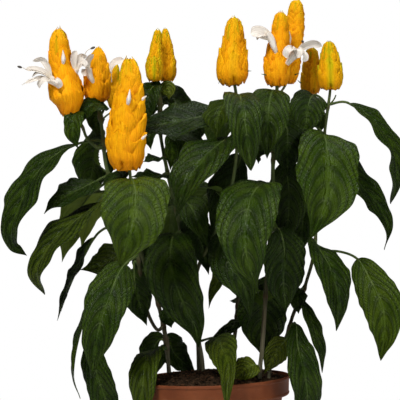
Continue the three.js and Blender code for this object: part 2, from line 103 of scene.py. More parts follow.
# Spikes: name, the axis from base to tip, the widths in pixels at PROFILE_SHARES of its length, how green
# it is, and by how many degrees its first rank of bracts is turned to the right
PROFILE_SHARES = (0, 0.04, 0.10, 0.25, 0.40, 0.55, 0.70, 0.85, 0.94, 1)
SPIKES = [
    ("spike_far_left", [(67, 117, 23), (69, 104, 24), (65.5, 88, 25), (63.5, 74, 25.5), (60, 57, 27),
     (58.8, 28, 28)], (12.5, 21, 27.5, 37.5, 33, 26.0, 23.5, 20, 14, 5), 0.0, 25),
    ("spike_left_back", [(97.5, 103, 12), (97.5, 80, 13), (98.5, 47, 14)],
     (20, 25, 28.5, 29, 28, 25.5, 21, 15.5, 9, 4), 0.05, -10),
    ("spike_left_green", [(113.5, 108, -20), (115.5, 61, -22)],
     (9.5, 11.5, 13, 15, 14.5, 13, 12, 9, 5.5, 2), 0.7, 40),
    ("spike_front", [(127.5, 170.5, 48), (125.5, 142, 48), (128, 115, 49), (130, 82, 50), (129, 57.5, 50)],
     (29, 34.5, 38.5, 40.5, 39, 36, 30, 22, 16.5, 9), 0.1, -18),
    ("spike_pair_left", [(154.5, 81, -27), (155, 62, -26), (158, 29.5, -24)],
     (14, 16.5, 18.5, 20.5, 18, 15, 12.5, 10, 8.5, 4.5), 0.5, 35),
    ("spike_pair_right", [(167, 82, -41), (167, 62, -41), (165, 28, -40)],
     (12.5, 16.5, 19, 20.5, 19, 16.5, 13.5, 9.5, 6.5, 3), 0.35, 50),
    ("spike_middle", [(234, 85, 10), (232.3, 70, 10), (233.7, 46, 10), (234.2, 17, 10)],
     (26, 31.5, 34.5, 33.5, 29.5, 26, 22, 17.5, 13, 6.5), 0.25, 0),
    ("spike_tall_left", [(277, 86, 14), (277.3, 66, 14), (279.5, 42, 14), (281, 11.5, 14)],
     (22, 25.5, 27.5, 29, 27, 23, 19, 16, 12, 5), 0.0, 12),
    ("spike_tall_right", [(289, 83.5, -8), (291.5, 58, -10), (295, 30, -14), (296.5, -0.5, -16)],
     (13, 16, 19, 20.5, 20, 20, 19.5, 18, 14, 7), 0.05, 30),
    ("spike_dark", [(310.5, 94, -39), (310.5, 78, -40), (312.2, 47.5, -40)],
     (18, 20, 21.5, 22, 20.5, 19, 17, 14, 11, 5), 0.35, 20),
    ("spike_right", [(330.5, 89.5, -18), (330.4, 72, -18), (328.7, 41, -18)],
     (23, 26, 27.5, 27.5, 25.5, 22.5, 19, 14.5, 10, 4), 0.85, -5),
    ("small_green_spike", [(153.5, 81.5, -19), (153.8, 56, -18)],
     (6, 9, 12, 13.5, 13.5, 12.5, 11, 8.5, 6, 3), 1.0, 10),
]

# Flowers: name, then parts. A tube or bud has its route and radii, a lip has its route, width and the way
# its inside looks, and a thread has its route and whether it ends in an anther.
FLOWERS = [
    ("flower_far_left", [
        ("tube", [(63, 90, 34), (57, 84, 36), (50, 79, 35)], (1.6, 2.6, 3.6)),
        ("lip", [(51, 80, 36), (47, 66, 37), (41, 58.5, 38), (32.5, 61, 38)], 5.2, (0.3, -0.6, -0.7)),
        ("lip", [(52, 80, 36), (45, 75, 39), (38, 73, 40), (32, 77, 38)], 5.2, (0, -0.5, 0.8)),
        ("lip", [(52, 81, 37), (46, 80, 41), (41, 83, 41), (39, 88, 38)], 6.2, (-0.2, -0.8, 0.5)),
        ("lip", [(55, 82, 38), (55, 80, 42), (58, 82, 43), (60, 88, 40)], 5.6, (0.2, -0.9, 0.4)),
        ("lip", [(52, 79, 36), (45, 73, 39), (37, 70, 40), (25, 69.5, 41)], 5.6, (0, -0.8, 0.5)),
        ("lip", [(52, 81, 36), (44, 78.5, 38), (35, 80, 40), (25, 83.5, 41)], 4.4, (0, -0.8, 0.6)),
        ("thread", [(51, 79, 36), (44, 73, 40), (36, 70, 41), (27, 69, 42), (18, 66.5, 43)], True),
        ("thread", [(51, 80, 36), (41, 76, 38), (32, 79, 40), (22, 85, 41)], False)]),
    ("flower_left_inner", [
        ("tube", [(71, 86, 25), (74, 77, 27), (76, 69, 28)], (1.5, 1.9, 2.8)),
        ("lip", [(76, 70, 28), (79, 61, 30), (83, 56, 31), (87, 56, 31)], 6.6, (-0.5, -0.6, -0.5)),
        ("lip", [(75, 70, 29), (73, 61, 31), (74, 55, 32), (77, 51, 32)], 5.8, (0.4, -0.8, 0.2)),
        ("lip", [(77, 70, 29), (81, 65, 32), (84, 63, 33), (85, 67, 33)], 5.8, (0.2, -0.8, 0.6)),
        ("thread", [(77, 68, 29), (83, 57, 30), (88, 50, 31), (94.5, 47.2, 31)], True)]),
    ("left_back_flower", [
        ("tube", [(95, 84, 22), (90, 76, 25), (88, 69, 25)], (1.6, 2.4, 3.2)),
        ("lip", [(88, 70, 25), (86.5, 62, 26), (89, 57, 27), (94, 54.5, 27)], 6.6, (0.5, -0.6, -0.5)),
        ("lip", [(88, 70, 26), (85, 69, 29), (84.5, 72, 31), (86, 76, 31)], 5.2, (-0.6, -0.6, 0.5))]),
    ("green_spike_flower", [
        ("tube", [(111, 82, -14), (110, 76, -12), (110, 71, -10)], (1.0, 1.4, 1.9)),
        ("lip", [(110, 74, -10), (111.5, 67.5, -9), (116, 62.5, -9), (125, 60.5, -9)], 7.0,
         (-0.4, -0.8, 0.3))]),
    ("flower_tall_left", [
        ("tube", [(277, 54, 22), (274, 47, 24), (271, 39, 24), (267, 34, 24)], (1.6, 2.4, 3.0, 3.5)),
        ("lip", [(270, 38, 24), (263, 34.5, 25), (257, 33, 26), (250.5, 34, 26)], 11.5, (-0.2, -0.85, 0.4)),
        ("lip", [(268, 36, 25), (263, 36, 28), (259, 37, 29), (257, 40, 28)], 4.6, (-0.3, -0.6, 0.7))]),
    ("flower_tall_right", [
        ("tube", [(287, 64, 22), (292, 57, 25), (298, 50, 26)], (2.0, 3.6, 5.4)),
        ("lip", [(297, 51, 26), (306, 45, 27), (314, 43, 28), (322, 46.5, 28)], 6.8, (0, -0.8, -0.5)),
        ("lip", [(297, 51, 27), (302, 53, 32), (305, 56, 33), (304, 62, 31)], 5.6, (0.4, -0.8, 0.5)),
        ("lip", [(295, 53, 27), (292, 49, 32), (288, 51, 33), (286, 58, 31)], 7.5, (-0.4, -0.8, 0.5)),
        ("lip", [(297, 50, 28), (299, 49, 33), (300, 52, 35), (298, 58, 34)], 4.8, (0, -0.9, 0.4)),
        ("thread", [(298, 49, 26), (303, 42, 28), (302, 41, 30)], True)]),
    ("flower_buds", [
        ("tube", [(63.2, 67, 33), (63.4, 60, 37), (63, 50, 36)], (0.8, 1.9, 0.3)),
        ("tube", [(127, 108, 60), (129, 98, 65), (129.8, 89.5, 63)], (0.9, 1.9, 0.3)),
        ("tube", [(138, 103, 52), (142.5, 99, 55), (146.5, 96, 55)], (0.8, 1.6, 0.5)),
        ("tube", [(139, 141, 55), (143, 138, 57), (147, 134.5, 57)], (0.8, 1.4, 0.4)),
        ("tube", [(289, 46, 2), (289.4, 38, 4), (289, 31, 4)], (0.9, 1.8, 0.4))]),
]

# Dry sepal tips that stick out of the spikes: the spike and the route
AWNS = [
    ("spike_middle", [(223, 79, 14), (220, 80, 18), (218.5, 84, 18)]),
    ("spike_middle", [(245, 72, 12), (248, 71, 14), (251.5, 71, 14)]),
    ("spike_tall_left", [(268, 75, 18), (264, 74.5, 20), (261, 74, 20)]),
    ("spike_tall_right", [(294, 75, -4), (297, 74, 0), (299.5, 73, 0)]),
    ("spike_dark", [(302, 83, -38), (299.5, 82, -36), (297.5, 80, -36)]),
]

# Leaves: name, rib from the stem to the tip, width, the way the upper side looks, how light it is from 0
# to 1, and what is special. How light a leaf is stands partly for its own green and partly for painted
# shade, so that leaves deep in the foliage are painted dark.
LEAVES = [
    ("leaf_far_left", [(102, 140, 12), (85, 142, 15), (68, 147.5, 19), (46, 162.5, 27), (29.5, 184, 34),
     (19.5, 207, 37), (11.5, 229, 37), (13.5, 244.5, 35), (27, 256, 31)], 46, (-0.7, -0.6, 0.5), 0.3,
     dict(sheen=0.6, petiole=0.15, roundness=0.95, sharpness=1.05)),
    ("leaf_left_upper", [(106, 176, 10), (86, 186, 20), (66, 196, 28), (51.5, 205, 30), (44, 214, 30)], 33,
     (-0.4, -0.65, 0.65), 0.3, dict(sheen=0.4)),
    ("leaf_left_underside", [(106, 180, 5), (86, 200, -16), (71, 228, -28), (62, 262.5, -32)], 30,
     (-0.3, 0.9, 0.3), 0.5, dict(old=0.3)),
    ("leaf_left_middle", [(116, 198, 6), (98, 204, 22), (74, 222, 40), (47.5, 249, 48), (37, 272, 48),
     (45, 295, 42)], 44, (-0.6, -0.5, 0.6), 0.3, dict(old=0.3, sheen=0.5, sharpness=0.85, drip=0.1)),
    ("leaf_left_edge_on", [(129, 231, -4), (107, 227.5, 6), (94, 237.5, 10), (85.5, 252, 12), (76, 271, 14),
     (67.7, 291, 13), (57, 321, 10)], 46, (-0.9, -0.2, 0.4), 0.2, dict(petiole=0.30)),
    ("leaf_front_broad", [(131, 184, 48), (132, 179, 62), (135.5, 194, 84), (132, 226, 96), (120, 267, 88)],
     54, (0.1, -0.8, 0.6), 1.0, dict(old=0.1, sheen=0.3, roundness=0.6, sharpness=1.0)),
    ("leaf_left_back", [(104, 141, 8), (101, 144, -8), (94.5, 160, -22), (88, 200, -28)], 44,
     (-0.3, -0.8, 0.5), 0.6),
    ("leaf_low_left", [(137, 256, 30), (122.5, 267, 48), (109.5, 296, 64), (98.5, 331, 68), (91, 380, 58)],
     35, (0.0, -0.9, 0.3), 0.6, dict(sheen=0.4, roundness=0.5, sharpness=1.0)),
    ("leaf_low_left_behind", [(150, 284, -18), (117, 305, 4), (97, 335, 16), (94, 358, 22), (101, 386, 24),
     (119.5, 430, 20)], 27, (-0.4, -0.8, 0.3), 0.35, dict(petiole=0.4, roundness=1.0, sharpness=0.9)),
    ("leaf_over_rim_left", [(165, 350, -31), (156, 350, -6), (148, 358, 26), (143.2, 382, 44),
     (140.5, 430, 46)], 27, (-0.3, -0.7, 0.5), 0.6, dict(old=0.3, roundness=0.35, sharpness=0.6)),
    ("leaf_heart_low", [(167, 339, -32), (169, 338.5, -42), (174, 353, -52), (195, 372, -56)], 27,
     (0.1, -0.75, 0.6), 0.3, dict(sharpness=0.9)),
    ("leaf_centre_dark", [(181, 232, -26), (172, 240, 8), (171, 268, 30), (184, 305, 36), (195, 327, 34),
     (199, 348, 30)], 43, (-0.1, -0.85, 0.5), 0.35, dict(roundness=0.7, sharpness=0.9)),
    ("leaf_centre_small", [(178, 200, -18), (188, 203, 4), (197, 220, 20), (208, 249, 22)], 30,
     (0.2, -0.85, 0.4), 0.45),
    ("leaf_middle_front", [(273, 187, 18), (262, 184, 44), (250, 201, 78), (245, 245, 94), (260, 299.5, 82)],
     50, (-0.2, -0.85, 0.5), 0.6, dict(drip=0.75)),
    ("leaf_middle_behind", [(226, 226, -14), (220, 238, 10), (229, 262, 30), (245, 288, 36), (251, 322, 32)],
     32, (-0.4, -0.85, 0.3), 0.2),
    ("leaf_diagonal", [(238, 134, 5), (227, 138, 28), (205, 157, 52), (185, 187, 62), (174.5, 219, 56)], 51,
     (-0.5, -0.75, 0.55), 0.35, dict(sheen=0.6)),
    ("leaf_level", [(237, 114, 8), (216, 114.5, 3), (183, 120, 16), (153, 126, 16), (130, 132, 8)], 44,
     (-0.1, -0.65, 0.75), 0.05, dict(sheen=0.3)),
    ("leaf_pair_right", [(160, 104, -31), (168, 100, -46), (180, 102, -56), (197, 115, -62)], 32,
     (0.3, -0.75, 0.6), 0.4),
    ("leaf_middle_left_half", [(236, 103, 8), (229, 100, 20), (219, 114.5, 32), (216, 139, 34)], 34,
     (-0.6, -0.75, 0.4), 0.6, dict(old=0.1)),
    ("leaf_middle_drooping", [(237, 97, 9), (240, 96, 46), (244.5, 119, 68), (251, 171, 66)], 30,
     (0.1, -0.85, 0.5), 0.5, dict(drip=0.0, sharpness=0.85)),
    ("leaf_tall_dome", [(276, 96, 14), (273, 90.5, 26), (269, 107, 40), (267, 159, 44)], 36,
     (-0.1, -0.8, 0.6), 0.5, dict(skew=-0.12)),
    ("leaf_tall_right", [(275, 114, 13), (282, 114, 16), (287, 130, 19), (287, 177, 18)], 33,
     (0.3, -0.8, 0.5), 0.3),
    ("leaf_dark_dome", [(327, 107, -18), (321, 98, -10), (313, 95.5, 0), (308, 106, 8), (305, 139, 8)], 31,
     (0.1, -0.85, 0.5), 0.35, dict(petiole=0.32, roundness=0.5)),
    ("leaf_right_broad", [(324, 141, -17), (324.5, 135, 6), (327, 151, 28), (326, 198, 42), (310, 240, 38)],
     55, (0.25, -0.8, 0.5), 0.85, dict(skew=0.02, roundness=0.72)),
    ("leaf_right_behind", [(321, 158, -16), (340, 161, -32), (361, 185.5, -42), (380.5, 209, -44),
     (388, 230, -42), (384, 250, -38)], 38, (0.6, -0.6, 0.5), 0.25, dict(drip=0.8, sharpness=1.2)),
    ("leaf_top_right", [(329, 104, -18), (345, 102, -12), (366, 113.5, -6), (385.5, 135, -4), (395, 159, -5),
     (395.5, 183, -6), (391, 204, -8)], 44, (0.75, -0.45, 0.55), 0.5, dict(sharpness=0.75)),
    ("leaf_right_lower", [(315, 240, 1), (318, 247, 26), (329.5, 267, 42), (338, 300, 46), (336, 331, 40)],
     35, (0.55, -0.7, 0.35), 0.4, dict(sharpness=0.9)),
    ("leaf_right_far", [(313, 253, 2), (335, 251, 8), (357, 258.5, 14), (370.5, 280, 20), (382, 304, 26),
     (385, 331, 26), (380.5, 361, 20)], 34, (-0.35, -0.82, 0.4), 1.0,
     dict(old=0.15, petiole=0.27, skew=-0.3, sharpness=0.85)),
    ("leaf_right_inner", [(270, 232, 22), (279, 229, 34), (284.5, 250, 37), (283.5, 280, 36), (286, 310, 34)],
     35, (0.1, -0.9, 0.3), 0.2, dict(drip=0.1, sharpness=0.85)),
    ("leaf_low_right", [(291, 326, 13), (296, 324, 34), (297.5, 345, 46), (304, 371, 52), (307, 392, 52),
     (306.5, 432, 46)], 28, (0.3, -0.85, 0.4), 0.4, dict(roundness=0.85, sharpness=0.85)),
    ("leaf_over_rim_front", [(204, 341, -33), (216, 338, 0), (222.5, 349, 36), (229, 366, 68), (228, 388, 82),
     (227, 432, 80)], 27, (-0.2, -0.5, 0.85), 0.8,
     dict(old=0.5, tip_face=(-0.8, -0.5, 0.2), petiole=0.20, roundness=0.4, sharpness=1.2)),
    ("leaf_back_low", [(237, 306, -56), (248, 296, -82), (260, 306, -104), (261, 349, -108)], 42,
     (0.2, 0.85, 0.4), 0.4),
    ("leaf_back_left", [(232, 200, -64), (205, 190, -92), (176, 210, -112), (160, 250, -112)], 46,
     (-0.5, 0.75, 0.4), 0.5),
    ("leaf_back_right", [(234, 222, -62), (258, 213, -84), (282, 222, -104), (290, 262, -108)], 44,
     (0.5, 0.75, 0.4), 0.5),
]

# The leaves that the solid model leaves out. Here too how light a leaf is carries painted shade, and the
# leaves named for shade are painted dark.
SMALLER_LEAVES = [
    ("under_spike_leaf", [(81, 124, 21), (80, 112, 26), (75, 116, 32), (73, 132, 34), (78, 149.5, 30)], 18,
     (-0.3, -0.8, 0.5), 0.8),
    ("bluish_leaf", [(102, 117, 12), (104, 107, 18), (97, 103, 24), (88, 108, 28), (81.5, 124, 26)], 23,
     (-0.2, -0.7, 0.6), 0.3, dict(sheen=0.7)),
    ("triangle_leaf", [(102, 114, 11), (99, 109, 4), (96, 117, 0), (98, 137, 0)], 16, (-0.1, -0.8, 0.5), 0.4),
    ("thin_leaf_low_left", [(143, 290, 12), (112, 285, 20), (89, 305, 28), (80.7, 329, 30), (76.7, 345, 30),
     (74, 362, 30), (73.6, 380, 28), (80, 399, 26)], 32, (-1, -0.1, 0.15), 0.4, dict(petiole=0.3)),
    ("leaf_left_pale", [(109, 188, 4), (97, 202, -10), (88, 221, -18), (81, 248.5, -22)], 19,
     (-0.3, 0.9, 0.3), 0.6, dict(old=0.4)),
    ("leaf_behind_low_left", [(136, 250, -10), (121, 254, 0), (101, 265, 10), (80, 270, 14)], 31,
     (-0.2, -0.75, 0.55), 0.5, dict(old=0.4)),
    ("leaf_between_stems", [(143, 262, 18), (135, 261, 24), (135, 284, 20), (140, 306, 14), (147, 326, 10)],
     26, (0.1, -0.9, 0.3), 0.2),
    ("leaf_gap_shade", [(136, 240, -10), (145, 236, -20), (147, 255, -24), (138, 283, -22)], 30,
     (0, -0.8, 0.5), 0.1),
    ("leaf_behind_low_stem", [(158, 304, -28), (162, 306, -24), (167, 314, -22), (171.5, 328, -22)], 16,
     (0, -0.8, 0.5), 0.2),
    ("narrow_tip_leaf", [(212, 240, -20), (219, 261, -10), (218, 280, -4), (211.5, 295, -4),
     (208.5, 309, -6)], 13, (-0.4, -0.85, 0.3), 0.6, dict(old=0.4)),
    ("leaf_behind_front_spike", [(160, 98, -31), (156, 85.5, -24), (149.5, 92, -16), (148, 123, -12)], 22,
     (-0.3, -0.8, 0.5), 0.2, dict(sheen=0.5)),
    ("leaf_under_level", [(161, 126, -34), (172, 130, -26), (188, 134.5, -20), (206, 143, -18)], 21,
     (0.1, -0.8, 0.5), 0.2),
    ("leaf_by_front_spike", [(161, 126, -34), (154, 128, -24), (149, 136, -18), (151, 150, -16)], 13,
     (-0.2, -0.8, 0.5), 0.2, dict(sheen=0.4)),
    ("small_lime_leaf", [(160, 103, -32), (162.5, 92, -30), (168, 88.5, -28), (169, 100, -26)], 14,
     (0.1, -0.9, 0.4), 1.0, dict(old=1.0)),
    ("leaf_hanging_dark", [(273, 160, 15), (281, 156, 10), (287, 175, 6), (289, 205, 4), (285, 248, 2)], 34,
     (0.1, -0.95, 0.3), 0.2),
    ("leaf_by_right_stem", [(304, 287, 9), (300, 290, 16), (297.5, 300, 20), (298.5, 314, 18)], 15,
     (0.1, -0.9, 0.4), 0.4),
    ("leaf_slender_right", [(303, 290, 9), (303, 297, 18), (306.5, 310, 26), (314.5, 330, 28), (321, 350, 26),
     (322, 373, 24)], 17, (0.7, -0.7, 0.2), 0.45, dict(sharpness=0.9)),
    ("leaf_behind_right_stem", [(265, 296, 26), (263, 290, 4), (262, 312, -8), (263, 356, -12)], 43,
     (0.1, -0.9, 0.4), 0.45, dict(sharpness=0.8)),
    ("leaf_on_soil", [(262, 370, 24), (256, 365, 32), (248, 367.5, 36), (234, 381, 38)], 24, (0, -0.65, 0.75),
     0.8, dict(old=0.9)),
    ("leaf_curled_low", [(290, 331, 14), (287, 337, 20), (277, 351, 24), (264, 374, 24)], 20,
     (0.4, -0.75, 0.5), 0.8, dict(old=0.7)),
    ("leaf_reaching_left", [(238, 317, -54), (240, 320, -40), (228.5, 329.5, -34), (206, 344, -32)], 13,
     (-0.2, -0.7, 0.7), 0.4),
    ("small_leaf_by_stem", [(272, 186, 18), (264, 182, 22), (257, 183, 26), (252, 191, 26)], 8,
     (0, -0.3, 1), 0.4),
    ("small_leaf_above", [(273, 152, 14), (266, 152.5, 10), (260, 156, 8), (258, 164, 8)], 8,
     (0, -0.3, 1), 0.3),
    ("edge_leaf_upper", [(169, 156.5, -35), (158, 158.5, -25), (143, 161.5, -18)], 24, (0.05, -0.3, 1), 0.2),
    ("edge_leaf_lower", [(169, 172, -36), (158, 176, -22), (131, 177, -8)], 27, (0.05, -0.35, 0.9), 0.2),
    ("leaf_behind_left_stem", [(105, 146, 8), (109, 148, 0), (111, 158, -6), (110, 177, -8)], 12,
     (0, -0.8, 0.5), 0.2),
    ("leaf_below_pair_left", [(160, 113, -34), (156, 106, -30), (152, 109, -28), (150, 118, -26)], 10,
     (0, -0.8, 0.5), 0.2),
    ("leaf_below_pair_right", [(160, 110, -34), (166, 102, -36), (171, 104, -38), (174, 113, -40)], 10,
     (0, -0.8, 0.5), 0.2),
    ("leaf_by_dark_stem", [(312, 120, -36), (316, 112, -34), (320, 119, -30), (319, 134, -28)], 13,
     (0, -0.8, 0.5), 0.2),
    ("leaf_centre_shade", [(186, 248, -39), (190, 226, -30), (200, 240, -26), (209, 275, -22)], 26,
     (0, -0.8, 0.5), 0.1),
    ("small_bright_leaf", [(162, 133, -35), (169, 135, -28), (172, 150, -26), (170, 171, -26)], 14,
     (0.3, -0.8, 0.4), 0.9),
    ("leaf_by_diagonal", [(161, 130, -35), (174, 134, -32), (182, 142, -30), (177, 162, -30)], 14,
     (0.2, -0.8, 0.5), 0.3),
    ("leaf_middle_shade", [(274, 125, 14), (264, 121, 2), (256, 130, -4), (251, 148, -6), (249.5, 170, -6)],
     32, (-0.1, -0.85, 0.4), 0.2),
    ("leaf_right_shade", [(320, 170, -14), (311, 182, -10), (304, 212, -8), (301, 256, -8)], 28,
     (-0.1, -0.85, 0.4), 0.2),
    ("leaf_under_front_spike", [(131, 184, 46), (124, 177, 40), (114, 177, 34), (100, 187, 30)], 17,
     (-0.1, -0.6, 0.8), 0.1),
    ("leaf_in_shade", [(236, 146, 1), (240, 160, -14), (224, 196, -24), (211, 238, -26)], 36,
     (-0.4, -0.8, 0.4), 0.1),
    ("leaf_tip_left", [(324, 135, -18), (314, 124, -6), (298, 115, 4), (278, 108, 8)], 16,
     (0, -0.7, 0.7), 0.7),
    ("leaf_low_pair", [(166, 343, -32), (161, 339, -40), (154.5, 347, -46), (155, 375, -48)], 27,
     (-0.2, -0.75, 0.6), 0.4, dict(sharpness=0.8)),
    ("leaf_back_top_left", [(220, 121, -62), (214, 116, -70), (205, 122, -80), (198, 142, -84)], 24,
     (-0.3, -0.6, 0.7), 0.3),
    ("leaf_back_top_right", [(220, 121, -62), (228, 117, -72), (238, 124, -84), (243, 148, -88)], 24,
     (0.3, 0.6, 0.7), 0.4),
    ("leaf_rear_1", [(176, 210, -38), (172, 204, -60), (171, 212, -90), (167, 250, -104)], 44,
     (-0.3, 0.8, 0.5), 0.5),
    ("leaf_rear_2", [(188, 258, -40), (184, 246, -62), (180, 262, -88), (180, 300, -96)], 34,
     (-0.1, 0.8, 0.5), 0.4),
    ("leaf_rear_3", [(318, 200, -10), (316, 184, -36), (314, 196, -64), (308, 237, -76)], 36,
     (0.3, 0.8, 0.5), 0.5),
    ("leaf_rear_4", [(271, 215, 19), (262, 205, -10), (255, 215, -38), (250, 262, -48)], 36,
     (0, 0.8, 0.5), 0.4),
    ("leaf_rear_5", [(226, 205, -10), (215, 190, -30), (200, 200, -56), (190, 238, -66)], 36,
     (-0.3, 0.8, 0.5), 0.4),
    ("leaf_rear_6", [(117, 200, 2), (112, 190, -20), (116, 200, -50), (124, 236, -64)], 34,
     (-0.2, 0.8, 0.5), 0.5),
    ("leaf_rear_7", [(238, 118, 6), (244, 106, -14), (250, 112, -38), (252, 140, -48)], 30,
     (0.1, 0.7, 0.7), 0.5),
    ("leaf_rear_8", [(276, 112, 13), (281, 106, -8), (287, 112, -28), (291, 140, -34)], 24,
     (0.2, 0.7, 0.7), 0.5),
    ("leaf_rear_9", [(238, 128, 5), (230, 121, -14), (219, 128, -26), (212, 154, -30)], 30,
     (-0.2, 0.7, 0.7), 0.4),
]


# Curves

def unit(vectors):
    return vectors / (np.linalg.norm(vectors, axis=-1, keepdims=True) + 1e-12)


def ramp(x, low, high):
    t = np.clip((x - low) / (high - low), 0, 1)
    return t * t * (3 - 2 * t)


def mm_per_pixel(near):
    return MM_PER_PIXEL * (CAMERA_DISTANCE - near) / CAMERA_DISTANCE


def seen(pixel):
    """The place of a photo pixel."""
    x, y, near = pixel
    u, v = x - PHOTO_SIZE / 2, PHOTO_SIZE / 2 - y
    across = u * math.cos(CAMERA_ROLL) + v * math.sin(CAMERA_ROLL)
    up = v * math.cos(CAMERA_ROLL) - u * math.sin(CAMERA_ROLL)
    scale = mm_per_pixel(near)
    return np.array([EYE_ACROSS + across * scale, -near, EYE_HEIGHT + up * scale])


def smooth_line(points):
    """A centripetal Catmull-Rom curve through the points, as a dense polyline."""
    per_span = 24
    points = np.asarray(points, float)
    padded = np.vstack([2 * points[0] - points[1], points, 2 * points[-1] - points[-2]])
    dense = []
    for k in range(len(points) - 1):
        p0, p1, p2, p3 = padded[k:k + 4]
        d0, d1, d2 = (max(1e-4, np.linalg.norm(b - a) ** 0.5) for a, b in ((p0, p1), (p1, p2), (p2, p3)))
        m1 = ((p1 - p0) / d0 - (p2 - p0) / (d0 + d1) + (p2 - p1) / d1) * d1
        m2 = ((p2 - p1) / d1 - (p3 - p1) / (d1 + d2) + (p3 - p2) / d2) * d1
        t = np.linspace(0, 1, per_span, endpoint=False)[:, None]
        cubic = 2 * p1 - 2 * p2 + m1 + m2
        square = -3 * p1 + 3 * p2 - 2 * m1 - m2
        dense.append(p1 + m1 * t + square * t ** 2 + cubic * t ** 3)
    return np.vstack([*dense, points[-1:]])


class Path:
    """A curve measured by its own length: at(shares) gives places and along(shares) gives directions."""

    def __init__(self, points):
        self.line = smooth_line(points)
        steps = np.linalg.norm(np.diff(self.line, axis=0), axis=1)
        self.reach = np.concatenate([[0], np.cumsum(steps)])
        self.length = self.reach[-1]

    def at(self, shares):
        where = np.atleast_1d(shares) * self.length
        return np.stack([np.interp(where, self.reach, self.line[:, k]) for k in range(3)], 1)

    def along(self, shares):
        step = 0.004
        shares = np.atleast_1d(shares)
        return unit(self.at(np.minimum(1, shares + step)) - self.at(np.maximum(0, shares - step)))

    def carried(self, shares, face):
        """Places on the path, and the directions along it, to its side and out of it on the face's side."""
        ahead = self.along(shares)
        side = unit(np.cross(ahead, face))
        return self.at(shares), ahead, side, np.cross(side, ahead)


def seen_path(route):
    return Path([seen(pixel) for pixel in route])


# Meshes: a shape is a dict of vertices, faces, one material number per face, and per-vertex coordinates

def shape(vertices, faces, look=0, uv=None, veins=None, tone=(0, 0, 0, 0)):
    vertices = np.asarray(vertices, float).reshape(-1, 3)
    count = len(vertices)
    return {
        "v": vertices,
        "f": [tuple(face) for face in faces],
        "m": np.full(len(faces), look) if np.isscalar(look) else np.asarray(look),
        "uv": np.zeros((count, 2)) if uv is None else uv,
        "veins": np.zeros((count, 2)) if veins is None else veins,
        "tone": np.tile(np.asarray(tone, float), (count, 1)),
    }


def joined(shapes):
    start = 0
    faces = []
    for each in shapes:
        faces += [tuple(k + start for k in face) for face in each["f"]]
        start += len(each["v"])
    out = {key: np.concatenate([each[key] for each in shapes]) for key in ("v", "m", "uv", "veins", "tone")}
    return {**out, "f": faces}


def grid_faces(rows, columns, wrap=False):
    """Quads of a rows by columns grid of vertices. wrap closes the columns into a ring."""
    faces = []
    for row in range(rows - 1):
        for column in range(columns if wrap else columns - 1):
            a, b = row * columns + column, row * columns + (column + 1) % columns
            faces.append((a, b, b + columns, a + columns))
    return faces


def capped_faces(rings, sides):
    """Faces of a closed tube: quads between its rings and one face over each end."""
    last = (rings - 1) * sides
    ends = [tuple(range(sides))[::-1], tuple(range(last, last + sides))]
    return [face[::-1] for face in grid_faces(rings, sides, wrap=True) + ends]


def turned_faces(rings, sides):
    """Faces of a turned body, whose last two vertices close its first and its last ring."""
    faces = grid_faces(rings, sides, wrap=True)
    middle = rings * sides
    for k in range(sides):
        beside = (k + 1) % sides
        faces.append((middle, beside, k))
        faces.append((middle - sides + k, middle - sides + beside, middle + 1))
    return faces


def grid_points(places, *moves):
    """A grid of points: each row starts at its place and moves along its directions by given amounts."""
    grid = places[:, None, :]
    for direction, amount in moves:
        grid = grid + direction[:, None, :] * amount[..., None]
    return grid


def layer_grid(a, b):
    return np.stack(np.broadcast_arrays(a, b), -1)


def sheet(upper, lower, uv, look=(0, 0), veins=None, tone=(0, 0, 0, 0)):
    """A thin closed body between an upper and a lower grid of points, which share their outer edges."""
    rows, columns = upper.shape[:2]
    inside = np.zeros((rows, columns), bool)
    inside[1:-1, 1:-1] = True
    low = np.arange(rows * columns)
    low[inside.ravel()] = rows * columns + np.arange(inside.sum())
    low = low.tolist()
    faces = []
    for corners in grid_faces(rows, columns):
        faces += [corners, tuple(low[k] for k in corners[::-1])]

    def both(grid, under=None):
        under = grid if under is None else under
        return np.vstack([grid.reshape(-1, grid.shape[-1]), under[inside]])

    looks = list(look) * (len(faces) // 2)
    return shape(both(upper, lower), faces, looks, both(uv), None if veins is None else both(veins), tone)


def tube(path, radii, sides, shares, look=0, tone=(0, 0, 0, 0)):
    """A closed round tube along a path, with a radius at each share of its length."""
    nearly_front = (0.001, -0.999, 0.001)
    places, _, across, outward = path.carried(shares, nearly_front)
    angles = np.linspace(0, FULL_TURN, sides, endpoint=False)
    radii = np.broadcast_to(radii, len(shares))[:, None]
    vertices = grid_points(places, (across, radii * np.cos(angles)), (outward, radii * np.sin(angles)))
    uv = np.stack([np.tile(angles / FULL_TURN, len(shares)), np.repeat(shares, sides)], 1)
    return shape(vertices, capped_faces(len(shares), sides), look, uv, tone=tone)


def make_piece(name, made, materials, crease=55, title=None):
    """Writes a shape as an object on the plant's one body.

    A name that is in the solid model replaces its node, and is turned round: leaf_level makes level_leaf.
    """
    in_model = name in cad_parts
    kind, _, rest = name.partition("_")
    title = title or (f"{rest}_{kind}" if in_model else name)
    mesh = bpy.data.meshes.new(title)
    mesh.from_pydata((made["v"] * METRES).tolist(), [], made["f"])
    for material in materials:
        mesh.materials.append(material)
    mesh.polygons.foreach_set("material_index", made["m"].astype(np.int32))
    corner = np.empty(len(mesh.loops), np.int32)
    mesh.loops.foreach_get("vertex_index", corner)
    for key in ("uv", "veins"):
        layer = mesh.uv_layers.new(name=key)
        layer.data.foreach_set("uv", made[key][corner].ravel())
    tone = mesh.color_attributes.new(name="tone", type="FLOAT_COLOR", domain="POINT")
    tone.data.foreach_set("color", made["tone"].ravel())
    mesh.shade_smooth()
    mesh.set_sharp_from_angle(angle=math.radians(crease))
    mesh.validate()
    piece = bpy.data.objects.new(title, mesh)
    bpy.context.scene.collection.objects.link(piece)
    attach(piece, "root")
    if in_model:
        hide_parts(name)


# Materials

